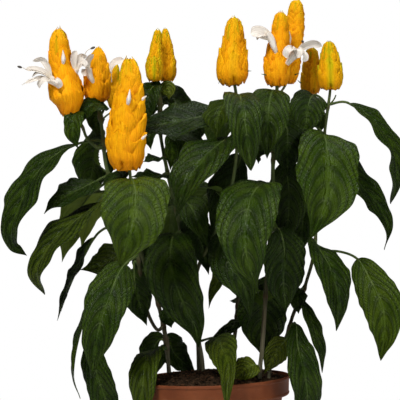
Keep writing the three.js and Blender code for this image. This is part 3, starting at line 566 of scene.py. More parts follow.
class Value:
    """A number or a colour that a material works out at each point, so that formulas read as arithmetic."""

    def __init__(self, nodes, socket):
        self.nodes = nodes
        self.socket = socket

    def __add__(self, other):
        return self.nodes.math("ADD", self, other)

    def __sub__(self, other):
        return self.nodes.math("SUBTRACT", self, other)

    def __mul__(self, other):
        return self.nodes.math("MULTIPLY", self, other)

    def at_most(self, limit):
        return self.nodes.math("MINIMUM", self, limit)

    def fit(self, low, high, to_low=0.0, to_high=1.0):
        """Goes smoothly from to_low to to_high while the value goes from low to high."""
        ends = {"From Min": low, "From Max": high, "To Min": to_low, "To Max": to_high}
        return self.nodes.add("MapRange", "Result", {"Value": self, **ends}, interpolation_type="SMOOTHSTEP")

    def mix(self, a, b):
        """Colour a where the value is 0 and colour b where it is 1."""
        a, b = ((*colour, 1) if isinstance(colour, tuple) else colour for colour in (a, b))
        return self.nodes.add("Mix", "Result", {"Factor": self, "A": a, "B": b}, data_type="RGBA")


class Nodes:
    """One material's node tree."""

    def __init__(self, name):
        self.material = bpy.data.materials.new(name)
        self.material.use_nodes = True
        self.tree = self.material.node_tree
        self.shader = self.tree.nodes["Principled BSDF"]

    def put(self, socket, value):
        if isinstance(value, Value):
            self.tree.links.new(value.socket, socket)
        else:
            socket.default_value = value

    def add(self, kind, output=0, inputs=None, **settings):
        """A new node with its inputs filled in, as one of its outputs or, for None, as all of them."""
        node = self.tree.nodes.new("ShaderNode" + kind)
        for key, value in settings.items():
            setattr(node, key, value)
        for key, value in (inputs or {}).items():
            self.put(node.inputs[key], value)
        if output is None:
            return [Value(self, socket) for socket in node.outputs]
        return Value(self, node.outputs[output])

    def math(self, operation, a, b=0.0):
        return self.add("Math", 0, {0: a, 1: b}, operation=operation)

    def place(self):
        return self.add("TexCoord", "Object")

    def parts(self, vector):
        return self.add("SeparateXYZ", None, {0: vector})

    def layer(self, name):
        return self.add("UVMap", "UV", uv_map=name)

    def tones(self):
        return self.add("SeparateColor", None, {0: self.add("Attribute", "Color", attribute_name="tone")})

    def noise(self, scale, detail, distortion=0.0, vector=None):
        inputs = {"Scale": scale, "Detail": detail, "Distortion": distortion}
        return self.add("TexNoise", "Fac", {"Vector": vector or self.place(), **inputs})

    def streaks(self, source, stretch, detail):
        """Noise that is drawn out where its stretch is small."""
        return self.noise(1.0, detail, vector=self.add("Mapping", 0, {"Vector": source, "Scale": stretch}))

    def painted(self, colour, layers):
        """The colour with further ones laid over it, each by its own share."""
        for share, over in layers:
            colour = share.mix(colour, over)
        return colour

    def finish(self, colour, rough, shine, relief=None):
        """Fills in the shader. The relief is a height, its strength and its depth in metres."""
        inputs = {"Base Color": colour, "Roughness": rough, "Specular IOR Level": shine}
        if relief:
            names = ("Height", "Strength", "Distance")
            inputs["Normal"] = self.add("Bump", 0, dict(zip(names, relief)))
        for key, value in inputs.items():
            self.put(self.shader.inputs[key], value)
        return self.material


def vein_mask(nodes, lateral_width, rib_width):
    """1 on the midrib and on the lateral veins, from the veins layer: x counts laterals, y is across."""
    count, across, _ = nodes.parts(nodes.layer("veins"))
    off = nodes.math("ABSOLUTE", nodes.math("FRACT", count + 0.5) - 0.5)
    lateral = off.fit(0.0, lateral_width, 1.0, 0.0) * across.fit(0.75, 1.0, 1.0, 0.25)
    return nodes.math("MAXIMUM", lateral, across.fit(0.0, rib_width, 1.0, 0.0))


def ladder_lines(nodes, count, across, along):
    """1 on the fine cross veins that join neighbouring lateral veins like the rungs of a ladder."""
    phase = across * 36.0 + along * 150.0 * across.fit(0.15, 0.60)
    phase = phase + nodes.noise(150, 2) * 8.0 + nodes.math("FLOOR", count) * 2.4
    return nodes.math("SINE", phase).fit(0.30, 1.0)


def leaf_upper_material():
    nodes = Nodes("leaf_upper")
    tone, old, sheen = nodes.tones()
    count, across, _ = nodes.parts(nodes.layer("veins"))
    along = nodes.parts(nodes.layer("uv"))[1]
    patches = nodes.noise(60, 3).fit(0.34, 0.66)
    dark = patches.mix((0.007, 0.018, 0.001), (0.018, 0.036, 0.003))
    light = patches.mix((0.023, 0.050, 0.001), (0.044, 0.078, 0.003))
    aged = old * nodes.noise(70, 3).fit(0.35, 0.65, 0.55, 1.0) + along.fit(0.72, 1.0) * 0.5 * old
    ladder = ladder_lines(nodes, count, across, along)
    valley = nodes.math("COSINE", count * FULL_TURN).fit(-0.4, 1.0)
    shade = (valley * 0.60 + ladder * 0.28) * tone.fit(0.0, 1.0, 1.2, 0.8)
    veins = vein_mask(nodes, 0.07, 0.03)
    # Each leaf's green goes from dark to light by its tone, which is partly its own colour and partly painted
    # shade for leaves in shadow; the vein valleys and cross veins get painted shade on top.
    green = nodes.painted(tone.mix(dark, light), [
        (aged.at_most(1.0), (0.110, 0.135, 0.010)),
        (shade * across.fit(0.0, 0.12), (0.003, 0.008, 0.001)),
        (veins * nodes.noise(70, 2).fit(0.40, 0.62, 0.05, 0.55), (0.085, 0.120, 0.035))])
    cells = nodes.noise(430, 2, 0.6)
    height = nodes.noise(1300, 3) * 0.25 + cells - ladder * 0.5 - valley * 0.7
    rough = cells.fit(0.3, 0.7, 0.25, 0.36) - sheen * 0.03 + veins * 0.08
    return nodes.finish(green, rough, 0.11, (height, 0.8, 0.0013))


def leaf_under_material():
    nodes = Nodes("leaf_under")
    old = nodes.tones()[1]
    veins = vein_mask(nodes, 0.13, 0.06)
    green = nodes.noise(55, 2).fit(0.3, 0.7).mix((0.040, 0.075, 0.008), (0.062, 0.100, 0.012))
    green = nodes.painted(green, [(old, (0.150, 0.180, 0.020)), (veins * 0.35, (0.120, 0.160, 0.050))])
    cells = nodes.noise(500, 3)
    return nodes.finish(green, cells.fit(0.3, 0.7, 0.5, 0.6), 0.10, (cells + veins * 0.9, 0.4, 0.0004))


def leaf_stalk_material():
    nodes = Nodes("leaf_stalk")
    green = nodes.noise(160, 2).fit(0.3, 0.7).mix((0.050, 0.080, 0.020), (0.085, 0.115, 0.030))
    rough = nodes.noise(300, 2).fit(0.3, 0.7, 0.5, 0.62)
    return nodes.finish(green, rough, 0.12, (nodes.noise(1200, 2), 0.3, 0.0003))


def stem_material():
    """Bark that is pale at its foot, dark above and green at the top, with brown rings where leaves join."""
    nodes = Nodes("stem_bark")
    height = nodes.parts(nodes.place())[2]
    streaks = nodes.streaks(nodes.place(), (420, 420, 40), 4)
    share = streaks.fit(0.3, 0.7)
    pale_bark = share.mix((0.055, 0.050, 0.028), (0.165, 0.155, 0.095))
    dark_bark = share.mix((0.024, 0.019, 0.009), (0.070, 0.058, 0.033))
    young = share.mix((0.050, 0.075, 0.022), (0.095, 0.120, 0.038))
    ring = nodes.tones()[0]
    colour = nodes.painted(pale_bark, [
        (height.fit(0.118, 0.165), dark_bark),
        ((height + nodes.noise(25, 2) * 0.05).fit(0.17, 0.31), young),
        (ring * 0.6, (0.070, 0.035, 0.016))])
    return nodes.finish(colour, streaks.fit(0.3, 0.7, 0.5, 0.68), 0.12, (streaks, 0.5, 0.0006))


def bract_material():
    """Gold with fine lines, orange in blotches, and green at its tip and along its middle. The deeper orange
    at its foot is partly its own colour and partly painted shade where the bracts below and beside it cover
    it.
    """
    nodes = Nodes("bract")
    tone, green, _ = nodes.tones()
    across, along, _ = nodes.parts(nodes.layer("uv"))
    lines = nodes.streaks(nodes.layer("uv"), (30, 2.2, 1), 2).fit(0.38, 0.62)
    off = nodes.math("ABSOLUTE", across - 0.5)
    greening = off.fit(0.0, 0.22, 1.0, 0.0) * 0.55 + along.fit(0.55, 1.0) * 0.6 + 0.30
    gold = nodes.painted(lines.mix((0.860, 0.315, 0.001), (0.940, 0.400, 0.003)), [
        # deeper orange towards the foot: partly the bract's own colour, partly painted shade under the bracts
        # below
        (along.fit(0.0, 0.5, 0.75, 0.0), (0.660, 0.165, 0.001)),
        (tone * 0.35, (0.820, 0.420, 0.004)),
        (nodes.noise(150, 3, 0.5).fit(0.48, 0.66, 0.0, 0.30), (0.680, 0.200, 0.001)),
        (off.fit(0.38, 0.5, 0.0, 0.35), (0.850, 0.420, 0.010)),
        ((greening * green).at_most(0.9), (0.490, 0.440, 0.001)),
        (off.fit(0.01, 0.08, 0.45, 0.0) * green, (0.200, 0.180, 0.003))])
    height = lines + nodes.noise(260, 3, 0.6) * 1.6
    rough = nodes.noise(300, 2).fit(0.3, 0.7, 0.48, 0.62)
    return nodes.finish(gold, rough, 0.08, (height, 0.5, 0.0009))


def petal_material():
    nodes = Nodes("petal")
    along = nodes.parts(nodes.layer("uv"))[1]
    lines = nodes.streaks(nodes.layer("uv"), (22, 1.5, 1), 2).fit(0.35, 0.65)
    throat = along.fit(0.0, 0.4, 1.0, 0.0) * 0.35
    white = throat.mix(lines.mix((0.60, 0.53, 0.46), (0.78, 0.73, 0.65)), (0.72, 0.60, 0.36))
    height = lines + nodes.noise(700, 2)
    return nodes.finish(white, lines.fit(0.0, 1.0, 0.5, 0.6), 0.25, (height, 0.25, 0.0003))


def anther_material():
    nodes = Nodes("anther")
    grains = nodes.noise(900, 2)
    brown = grains.mix((0.015, 0.012, 0.010), (0.060, 0.045, 0.030))
    return nodes.finish(brown, grains, 0.5, (nodes.noise(2500, 2), 0.4, 0.0002))


def soil_material():
    nodes = Nodes("soil")
    grains = nodes.noise(380, 5, 0.8)
    clumps = nodes.noise(90, 3)
    woody = nodes.tones()[0]
    brown = nodes.painted(grains.fit(0.35, 0.65).mix((0.006, 0.004, 0.002), (0.050, 0.028, 0.015)), [
        (clumps.fit(0.55, 0.75) * grains.fit(0.55, 0.7), (0.115, 0.060, 0.030)),
        (woody, (0.090, 0.042, 0.020))])
    return nodes.finish(brown, grains.fit(0.3, 0.7, 0.8, 0.98), 0.05, (grains + clumps * 0.8, 0.9, 0.002))


def pot_material():
    """Terracotta-coloured plastic with level scuffs, and with splashes of soil near the rim."""
    nodes = Nodes("terracotta_plastic")
    mottle = nodes.noise(60, 4)
    height = nodes.parts(nodes.place())[2]
    scuffs = nodes.streaks(nodes.place(), (90, 90, 900), 5).fit(0.60, 0.78)
    splash = nodes.noise(140, 4).fit(0.55, 0.8) * height.fit(0.09, 0.112)
    red = nodes.painted(mottle.fit(0.3, 0.7).mix((0.125, 0.034, 0.012), (0.165, 0.048, 0.018)), [
        (scuffs * 0.3, (0.300, 0.150, 0.095)),
        (splash * 0.4, (0.050, 0.026, 0.014))])
    rough = mottle.fit(0.3, 0.7, 0.46, 0.58) + scuffs * 0.15
    return nodes.finish(red, rough, 0.09, (nodes.noise(1400, 3), 0.25, 0.0003))


LEAF_UPPER = leaf_upper_material()
LEAF_UNDER = leaf_under_material()
STALK = leaf_stalk_material()
STEM = stem_material()
BRACT = bract_material()
PETAL = petal_material()
ANTHER = anther_material()
SOIL = soil_material()
POT = pot_material()


# Pot

def wall_radius(height):
    top = RIM_RADIUS - BAND_TAPER - BAND_STEP
    return BASE_RADIUS + (top - BASE_RADIUS) * height / BAND_BOTTOM


def ring_points(radius, height, angles):
    return np.stack([radius * np.cos(angles), radius * np.sin(angles), np.full(len(angles), height)], 1)


def lathe(profile, segments):
    """Turns a profile of (radius, height) pairs, which starts and ends on the axis, about the pot's axis."""
    inner = profile[1:-1]
    angles = np.linspace(0, FULL_TURN, segments, endpoint=False)
    rings = [ring_points(radius, height, angles) for radius, height in inner]
    vertices = np.vstack([*rings, [[0, 0, profile[0][1]], [0, 0, profile[-1][1]]]])
    return shape(vertices, turned_faces(len(inner), segments))


def rounded(profile, radius):
    """The profile with its inner corners rounded, each by as much as its neighbours leave room for."""
    steps = 4
    points = [np.array(p, float) for p in profile]
    out = [points[0]]
    for before, here, after in zip(points, points[1:], points[2:]):
        reach = min(radius, np.linalg.norm(before - here) * 0.45, np.linalg.norm(after - here) * 0.45)
        a = here + unit(before - here) * reach
        b = here + unit(after - here) * reach
        for t in np.linspace(0, 1, steps):
            out.append(a * (1 - t) ** 2 + here * 2 * t * (1 - t) + b * t ** 2)
    return [*out, points[-1]]


def build_pot():
    shoulder = wall_radius(BAND_BOTTOM)
    band = RIM_RADIUS - BAND_TAPER
    inside = RIM_RADIUS - POT_WALL
    foot_height, foot_width = 0.8, 8.0
    lip = POT_HEIGHT - 2.6
    groove = 0.55
    sides, corner_radius = 160, 0.5
    profile = [
        (0, foot_height), (BASE_RADIUS - foot_width - 1, foot_height), (BASE_RADIUS - foot_width, 0),
        (BASE_RADIUS - 1.4, 0), (wall_radius(1.6), 1.6), (wall_radius(40), 40), (shoulder, BAND_BOTTOM - 1.2),
        (band - 0.7, BAND_BOTTOM), (band, BAND_BOTTOM + 0.8), (band + 0.15, BAND_BOTTOM + 2.2),
        (band - 0.25, BAND_BOTTOM + 2.7), (RIM_RADIUS - 0.35 - groove, lip - 0.9),
        (RIM_RADIUS - 0.25 - groove, lip - 0.35), (RIM_RADIUS, lip + 0.1), (RIM_RADIUS, POT_HEIGHT - 0.6),
        (RIM_RADIUS - 0.6, POT_HEIGHT), (inside + 0.6, POT_HEIGHT), (inside, POT_HEIGHT - 0.7),
        (inside - BAND_TAPER, BAND_BOTTOM + POT_WALL), (shoulder - POT_WALL, BAND_BOTTOM),
        (wall_radius(POT_FLOOR) - POT_WALL, POT_FLOOR), (0, POT_FLOOR),
    ]
    made = lathe(rounded(profile, corner_radius), sides)
    make_piece("pot", made, [POT], crease=40, title="pot_body")


# Soil

CRUMB_COUNT = 420
CRUMB_SEED = 11
rng = np.random.default_rng(CRUMB_SEED)


def soil_top(radius):
    return POT_HEIGHT - SOIL_BELOW_RIM + MOUND_HEIGHT * (1 - (radius / SOIL_EDGE) ** MOUND_FLATNESS)


def lumps(x, y, size, seed):
    """Smooth irregular ups and downs between about -1 and 1, with hollows of about `size` millimetres."""
    wave_count = 9
    waves = np.random.default_rng(seed)
    total = np.zeros_like(x)
    for _ in range(wave_count):
        angle, phase = waves.uniform(0, FULL_TURN, 2)
        pitch = FULL_TURN / (size * waves.uniform(0.7, 1.6))
        total += np.sin(pitch * (x * math.cos(angle) + y * math.sin(angle)) + phase)
    return total / 4


def build_soil():
    rings, sides = 46, 150
    edge = SOIL_EDGE - 0.25
    bottom = POT_FLOOR + 0.35
    angles = np.linspace(0, FULL_TURN, sides, endpoint=False)
    r, a = np.meshgrid(edge * (np.arange(1, rings + 1) / rings) ** 0.8, angles, indexing="ij")
    x, y = r * np.cos(a), r * np.sin(a)
    calm = 1 - ramp(r, edge - 3, edge)
    relief = 1.1 * lumps(x, y, 13, 1) + 0.7 * lumps(x, y, 5, 2) + 0.35 * lumps(x, y, 2.4, 3)
    z = soil_top(np.minimum(r, SOIL_EDGE)) - 0.6 + relief * (0.25 + 0.75 * calm)
    below = [(edge - 1.2, BAND_BOTTOM + 2.6), (wall_radius(94) - 2.4, 95.0), (wall_radius(3) - 2.3, bottom)]
    lower = [ring_points(radius, height, angles) for radius, height in below]
    top = np.stack([x, y, z], -1).reshape(-1, 3)
    vertices = np.vstack([top, *lower, [[0, 0, soil_top(0)], [0, 0, bottom]]])
    faces = [face[::-1] for face in turned_faces(rings + len(below), sides)]
    parts = [shape(vertices, faces), *(crumb(*spot) for spot in crumb_spots())]
    make_piece("soil", joined(parts), [SOIL], crease=70, title="soil_crumbs")


def crumb_spots():
    """Where the loose crumbs lie and how large they are: most are small."""
    spots = []
    for _ in range(CRUMB_COUNT):
        radius = (SOIL_EDGE - 2.5) * math.sqrt(rng.uniform(0, 1))
        angle = rng.uniform(0, FULL_TURN)
        size = rng.uniform(0.7, 2.3) if rng.uniform() < 0.86 else rng.uniform(2.3, 3.8)
        spots.append((radius * math.cos(angle), radius * math.sin(angle), size))
    return spots


def crumb(x, y, size):
    """One irregular bit of bark or peat, half sunk in the soil."""
    rows, columns = 4, 7
    stretch = np.array([rng.uniform(0.8, 2.0), rng.uniform(0.6, 1.0), rng.uniform(0.35, 0.8)])
    turn = rng.uniform(0, math.pi)
    knobs = size * rng.uniform(0.65, 1.1, (rows, columns)) / 2
    polar = math.pi * (np.arange(rows)[:, None] + 0.6) / (rows + 0.2)
    angle = FULL_TURN * np.arange(columns) / columns
    ball = (np.sin(polar) * np.cos(angle), np.sin(polar) * np.sin(angle), np.cos(polar))
    a, b, c = (np.ravel(part * knobs * width) for part, width in zip(ball, stretch))
    middle = soil_top(math.hypot(x, y)) + 0.15 * size
    cosine, sine = math.cos(turn), math.sin(turn)
    vertices = np.stack([x + a * cosine - b * sine, y + a * sine + b * cosine, middle + c], 1)
    woody = rng.uniform(0, 1) ** 2
    return shape(vertices, capped_faces(rows, columns), tone=(woody, 0, 0, 1))


# Stems

ROOT_LEVELS = (-18, -4, 3)
STEM_SIDES = 14


def stem_points(route, parent):
    """A stem's points: a side branch starts where its route does, and a main one in the soil."""
    points = [seen(pixel) for pixel in route]
    if parent:
        return points
    x, y, _ = points[0]
    ground = soil_top(math.hypot(x, y))
    return [*(np.array([x, y, ground + level]) for level in ROOT_LEVELS), *points[1:]]


STEM_PATHS = {name: Path(stem_points(route, parent)) for name, _, parent, route in STEMS}
JOINTS_ON_STEMS = {name: [] for name in STEM_PATHS}


def join_stem(place, names):
    """Notes a joint on the nearest of the named stems, and gives the point of its middle line there."""
    gap, name, nearest = math.inf, None, 0
    for each in names:
        gaps = np.linalg.norm(STEM_PATHS[each].line - place, axis=1)
        if gaps.min() < gap:
            gap, name, nearest = gaps.min(), each, int(np.argmin(gaps))
    path = STEM_PATHS[name]
    JOINTS_ON_STEMS[name].append(path.reach[nearest] / path.length)
    return path.line[nearest]


def build_stem(name, radius, parent, route):
    """A stem that thins out upwards, with a swelling and a brown ring at each joint."""
    thick_end, taper, swelling = 0.92, 0.22, 0.32
    swelling_reach, ring_reach, ring_spacing = 2.6, 1.6, 1.6
    points = stem_points(route, parent)
    path = Path([join_stem(points[0], [parent]), *points] if parent else points)
    shares = np.linspace(0, 1, max(24, int(path.length / ring_spacing)))
    radii = radius * (thick_end - taper * shares)
    ring = np.zeros(len(shares))
    for share in JOINTS_ON_STEMS[name]:
        away = (shares - share) * path.length
        radii = radii * (1 + swelling * np.exp(-(away / swelling_reach) ** 2))
        ring = np.maximum(ring, np.exp(-(away / ring_reach) ** 2))
    wander = 0.04 * np.sin(shares * path.length / 7 + radius * 9)
    made = tube(path, radii * (1 + wander), STEM_SIDES, shares, tone=(0, 0, 0, 1))
    made["tone"][:, 0] = np.repeat(ring, STEM_SIDES)
    make_piece(name, made, [STEM])


# Leaves

UPPER_LOOK, UNDER_LOOK, STALK_LOOK = range(3)
# Rows along the blade, columns on each half, lateral veins on each half, and the radius of the stalk
FULL_LEAF = (76, 13, 8, 1.05)
SMALL_LEAF = (44, 8, 6, 0.8)
SMALL_WIDTH = 20
SHORTEST_STALK = 3.4
BLADE_FOLD = 0.16
BLADE_ARCH = 0.26
EDGE_WAVE = 0.085
QUILT_HEIGHT = 1.30
LEAF_THICKNESS = 0.4
VEIN_RIDGE = 0.35
MIDRIB_DEPTH = 0.60
LEAF_SEED = 100
FIRST_SMALLER_LEAF = 60


def blade_width(t, roundness, sharpness, drip):
    """Half-width of the blade at share t from its base, as a share of the widest. drip thins the tip."""
    widest = roundness / (roundness + sharpness)
    outline = np.maximum(t, 0) ** roundness * np.maximum(1 - t, 0) ** sharpness
    outline = outline / (widest ** roundness * (1 - widest) ** sharpness)
    return outline * (1 - drip * ramp(t, 0.70, 0.97))


def lateral_count(t, u, laterals, phases):
    """Counts the lateral veins from the base: it is whole on each vein, which curves towards the tip."""
    across = np.abs(u)
    reach = 0.42 * across ** 1.7
    lowest = 0.46
    uneven = np.where(u < 0, np.sin(9 * t + phases[0]), np.sin(8 * t + phases[1]))
    return laterals * (np.clip(t - reach, -lowest, 1) + lowest) ** 0.92 + 0.16 * across * uneven


def sided_wave(t, u, counts, phases):
    """A wave along the blade, which has its own count and phase on each side of the midrib."""
    left, right = (np.sin(FULL_TURN * count * t + phase) for count, phase in zip(counts, phases))
    return np.where(u < 0, left, right)


def leaf_shape(rib, width, face, tone, seed, old=0.0, sheen=0.0, tip_face=None, petiole=0.13, drip=0.35,
               roundness=0.6, sharpness=1.1, skew=0.0):
    """A leaf: a quilted blade with an upper and a lower side, and a stalk that runs on as its midrib.

    old yellows it, petiole is the stalk's share of the rib, drip thins the tip, roundness and sharpness are
    those of its base and tip, skew pulls one side of its base ahead, and tip_face is the way its tip looks.
    """
    rows, half_columns, laterals, stalk = SMALL_LEAF if width < SMALL_WIDTH else FULL_LEAF
    path = Path(rib)
    start = SHORTEST_STALK / path.length + petiole
    even = np.linspace(0, 1, rows)[:, None]
    t = even - 0.05 * np.sin(FULL_TURN * even) / FULL_TURN
    face = np.array(face)
    turning = 0 if tip_face is None else np.array(tip_face) - face
    places, ahead, side, normal = path.carried(start + t[:, 0] * (1 - start), face + turning * t)
    u = np.linspace(-1, 1, 2 * half_columns + 1)[None, :]
    u = np.sign(u) * np.abs(u) ** 0.92
    across = np.abs(u)

    local = np.random.default_rng(seed)
    phases = local.uniform(0, FULL_TURN, 4)
    waves = local.uniform(2.2, 3.6, 2)
    count = lateral_count(t, u, laterals, phases[2:])
    half = np.maximum(width / 2 * blade_width(t, roundness, sharpness, drip), 0.02)
    half = half * (1 + 0.02 * np.cos(FULL_TURN * count) * across ** 3)
    half = half * (1 + 0.045 * sided_wave(t, u, (2.6, 2.2), phases) * across ** 2)

    soft = np.sqrt(across ** 2 + 0.012) - 0.11
    lift = half * ((BLADE_FOLD + BLADE_ARCH) * soft - BLADE_ARCH * across ** 2)
    calm = ramp(across, 0.02, 0.16) * (1 - ramp(across, 0.72, 1.0)) * ramp(t, 0.0, 0.06)
    calm = calm * (1 - ramp(t, 0.90, 1.0)) * np.minimum(1, half / 16) ** 0.7
    between_veins = np.abs(np.sin(math.pi * count))
    quilting = QUILT_HEIGHT * calm * (between_veins ** 0.6 - 0.35)
    ripple = EDGE_WAVE * half * across ** 2.2 * sided_wave(t, u, waves, phases) * ramp(t, 0.03, 0.2)
    sway = 0.02 * width * np.sin(FULL_TURN * 1.3 * t + phases[2]) * across

    upper = grid_points(places, (side, u * half), (ahead, skew * u * half * (1 - t) ** 2),
                        (normal, lift + quilting + ripple + sway))
    thickness = LEAF_THICKNESS * (1 - across ** 8) + VEIN_RIDGE * calm * (1 - between_veins) ** 4
    lower = upper - normal[:, None, :] * thickness[..., None]
    uv, veins = layer_grid(u * 0.5 + 0.5, t), layer_grid(count, across)
    # tone: the leaf's green from dark to light, partly its own colour and partly painted shade
    paint = (tone, old, sheen, 1.0)
    looks = (UPPER_LOOK, UNDER_LOOK)
    blade = sheet(upper[:, ::-1], lower[:, ::-1], uv[:, ::-1], looks, veins[:, ::-1], paint)
    keep = (t[:, 0] > 0.012) & (t[:, 0] < 0.94)
    under = places[keep] + normal[keep] * (lift[keep, half_columns] - MIDRIB_DEPTH)[:, None]
    return joined([blade, stalk_shape(path, start, stalk, under, paint)])


def stalk_shape(path, start, radius, under, paint):
    """The stalk from the stem, which runs on under the blade as a midrib that thins out to the tip."""
    line = Path(np.vstack([path.at(np.linspace(0, start, 9))[:-1], under[::5]]))
    shares = np.linspace(0, 1, 46)
    at_blade = start * path.length / line.length
    stalk = 1.25 - 0.25 * ramp(shares, 0, at_blade * 0.4)
    midrib = 0.78 * (1 - ramp(shares, at_blade, 1.0))
    radii = np.where(shares < at_blade, radius * stalk, radius * midrib + 0.12)
    return tube(line, radii, sides=8, shares=shares, look=STALK_LOOK, tone=paint)


def build_leaf(number, name, rib, width, face, tone, special=()):
    base, *points = (seen(pixel) for pixel in rib)
    points = [join_stem(base, STEM_PATHS), *points]
    made = leaf_shape(points, width, face, tone, LEAF_SEED + number, **dict(special))
    make_piece(name, made, [LEAF_UPPER, LEAF_UNDER, STALK])


# Spikes

AWN_LOOK = 1
SPIKE_SEED = 500
BRACT_SKIN = 0.35
BRACT_KEEL = 0.15
LARGE_BRACT = 11
LONGEST_OF_GIRTH = 0.90
LONGEST_OF_SPIKE = 0.50
RISE_OF_GIRTH = 0.25
LEAST_RISE = 3.0
LOWEST_GAP = 0.25
FIRST_JOINT = 0.13
LAST_JOINT = 0.90
FRESH_GREEN = 0.45
CROWN_COUNT = 6
CROWN_TURN = 24
CROWN_SPREAD = math.radians(33)
RANK_SWING = math.pi / 2


class Axis:
    """A spike's middle line, with its outline and the directions across it at any height."""

    def __init__(self, route, widths):
        self.path = seen_path(route)
        self.length = self.path.length
        self.radii = np.array(widths) / 2 * mm_per_pixel(np.mean([near for _, _, near in route]))
        self.girth = 2 * self.radii.max()

    def radius(self, height):
        share = height / self.length
        outline = np.interp(np.clip(share, 0, 1), PROFILE_SHARES, self.radii)
        return outline * (1 - 0.6 * ramp(share, 0.96, 1.05))

    def place(self, height, angle, reach):
        """The point at a height along the axis, turned from the viewer's side to the right by an angle."""
        height, angle, reach = (np.ravel(each) for each in (height, angle, reach))
        inside = np.clip(height, 0, self.length)
        centre, axis, right, front = self.path.carried(inside / self.length, (0, 1, 0))
        sideways = front * np.cos(angle)[:, None] + right * np.sin(angle)[:, None]
        return centre + axis * (height - inside)[:, None] + sideways * reach[:, None]


def bract_shape(axis, joint, reach, turn, spread, paint, local):
    """One bract: heart-shaped lobes hang below its joint, and it rises along the spike to a fine point."""
    rows, columns = (15, 13) if reach > LARGE_BRACT else (11, 9)
    t = np.linspace(0, 1, rows)[:, None] ** 0.9
    u = np.linspace(-1, 1, columns)[None, :]
    across = np.abs(u)
    lobes = 0.17 * reach * np.sin(math.pi * np.minimum(1, across * 0.8)) * (1 - t) ** 3
    height = joint + reach * t - lobes
    outline = (t + 0.03) ** 0.26 * (1.002 - t) ** 0.85
    outline = outline / outline.max()
    ruffle = np.sin(FULL_TURN * (1.4 * t + local.uniform()) + np.sign(u) * 0.7)
    angle = turn + spread * outline * u + 0.06 * ruffle * across ** 3 + local.uniform(-0.05, 0.05)
    attached = 0.62 + 0.38 * ramp(t + 0.45 * across, 0.0, 0.2)
    layer = 0.87 + 0.15 * t ** 0.8 + 0.04 * ramp(t, 0.7, 1.0)
    fold = 1 - BRACT_KEEL * across ** 2.2
    wave = 1 + 0.13 * ruffle * across ** 2 * ramp(t, 0.0, 0.3) * (1 - ramp(t, 0.85, 1.0))
    crumple = 1 + 0.03 * np.sin(5 * math.pi * u + 8 * t + 6 * local.uniform()) * ramp(t, 0.0, 0.3)
    outer = np.maximum(axis.radius(height), 0.9) * attached * layer * fold * wave * crumple
    outer = outer * local.uniform(0.97, 1.03)
    skin = BRACT_SKIN * (1 - across ** 6)
    upper, lower = (axis.place(height, angle, out).reshape(rows, columns, 3) for out in (outer, outer - skin))
    return sheet(upper, lower, layer_grid(u * outline * 0.5 + 0.5, t), tone=paint)


def build_spike(number, name, route, widths, greenness, swing):
    """Opposite pairs of bracts, each pair a quarter turn from the one below, round a core."""
    local = np.random.default_rng(SPIKE_SEED + number)
    axis = Axis(route, widths)
    rise = max(LEAST_RISE, axis.girth * RISE_OF_GIRTH)
    longest = min(axis.girth * LONGEST_OF_GIRTH, axis.length * LONGEST_OF_SPIKE)
    parts = [spike_core(axis)]
    joint, tier = FIRST_JOINT * longest, 0
    while joint < axis.length * LAST_JOINT:
        share = joint / axis.length
        reach = min(longest * (1 - 0.42 * share), axis.length * 1.02 - joint)
        fresh = ramp(share, 0.55, 0.95)
        for side in (0, 2):
            turn = math.radians(swing) + (side + tier % 2) * RANK_SWING
            start = joint + local.uniform(-0.12, 0.12) * rise
            spread = math.radians(local.uniform(56, 66)) * (1 - 0.2 * fresh)
            paint = (local.uniform(0, 1), min(1, greenness + FRESH_GREEN * fresh), share, 1)
            size = reach * local.uniform(0.90, 1.04)
            parts.append(bract_shape(axis, start, size, turn, spread, paint, local))
        joint += rise * (1 - 0.40 * share) * (LOWEST_GAP if tier == 0 else 1)
        tier += 1
    parts += crown(axis, longest, greenness, swing, local)
    parts += [awn_shape(awn) for owner, awn in AWNS if owner == name]
    title = name.replace("spike_", "") + "_bracts"
    make_piece(name, joined(parts), [BRACT, STALK], crease=60, title=title)


def crown(axis, longest, greenness, swing, local):
    """The youngest bracts: narrow, green-tinged and ending at different heights round the spike's top."""
    reach = min(longest * 0.62, axis.length * 0.40)
    parts = []
    for k in range(CROWN_COUNT):
        start = axis.length - reach * (1.0 + 0.16 * (k % 3))
        turn = math.radians(swing + CROWN_TURN) + k * FULL_TURN / CROWN_COUNT
        paint = (local.uniform(0, 1), min(1, greenness + FRESH_GREEN), 0.9, 1)
        size = reach * local.uniform(0.92, 1.02)
        parts.append(bract_shape(axis, start, size, turn, CROWN_SPREAD, paint, local))
    return parts


def spike_core(axis):
    heights = np.linspace(0.0, 0.985, 22)
    radii = np.maximum(axis.radius(heights * axis.length) * (0.60 + 0.25 * ramp(heights, 0.8, 0.95)), 0.5)
    return tube(axis.path, radii, sides=12, shares=heights, tone=(0, 0.3, 0, 1))


def awn_shape(route):
    shares = np.linspace(0, 1, 8)
    radii = 0.75 * (1 - shares) + 0.12
    return tube(seen_path(route), radii, sides=6, shares=shares, look=AWN_LOOK, tone=(0, 0, 0, 1))


# Flowers

ANTHER_LOOK = 1
PETAL_THICKNESS = 0.28


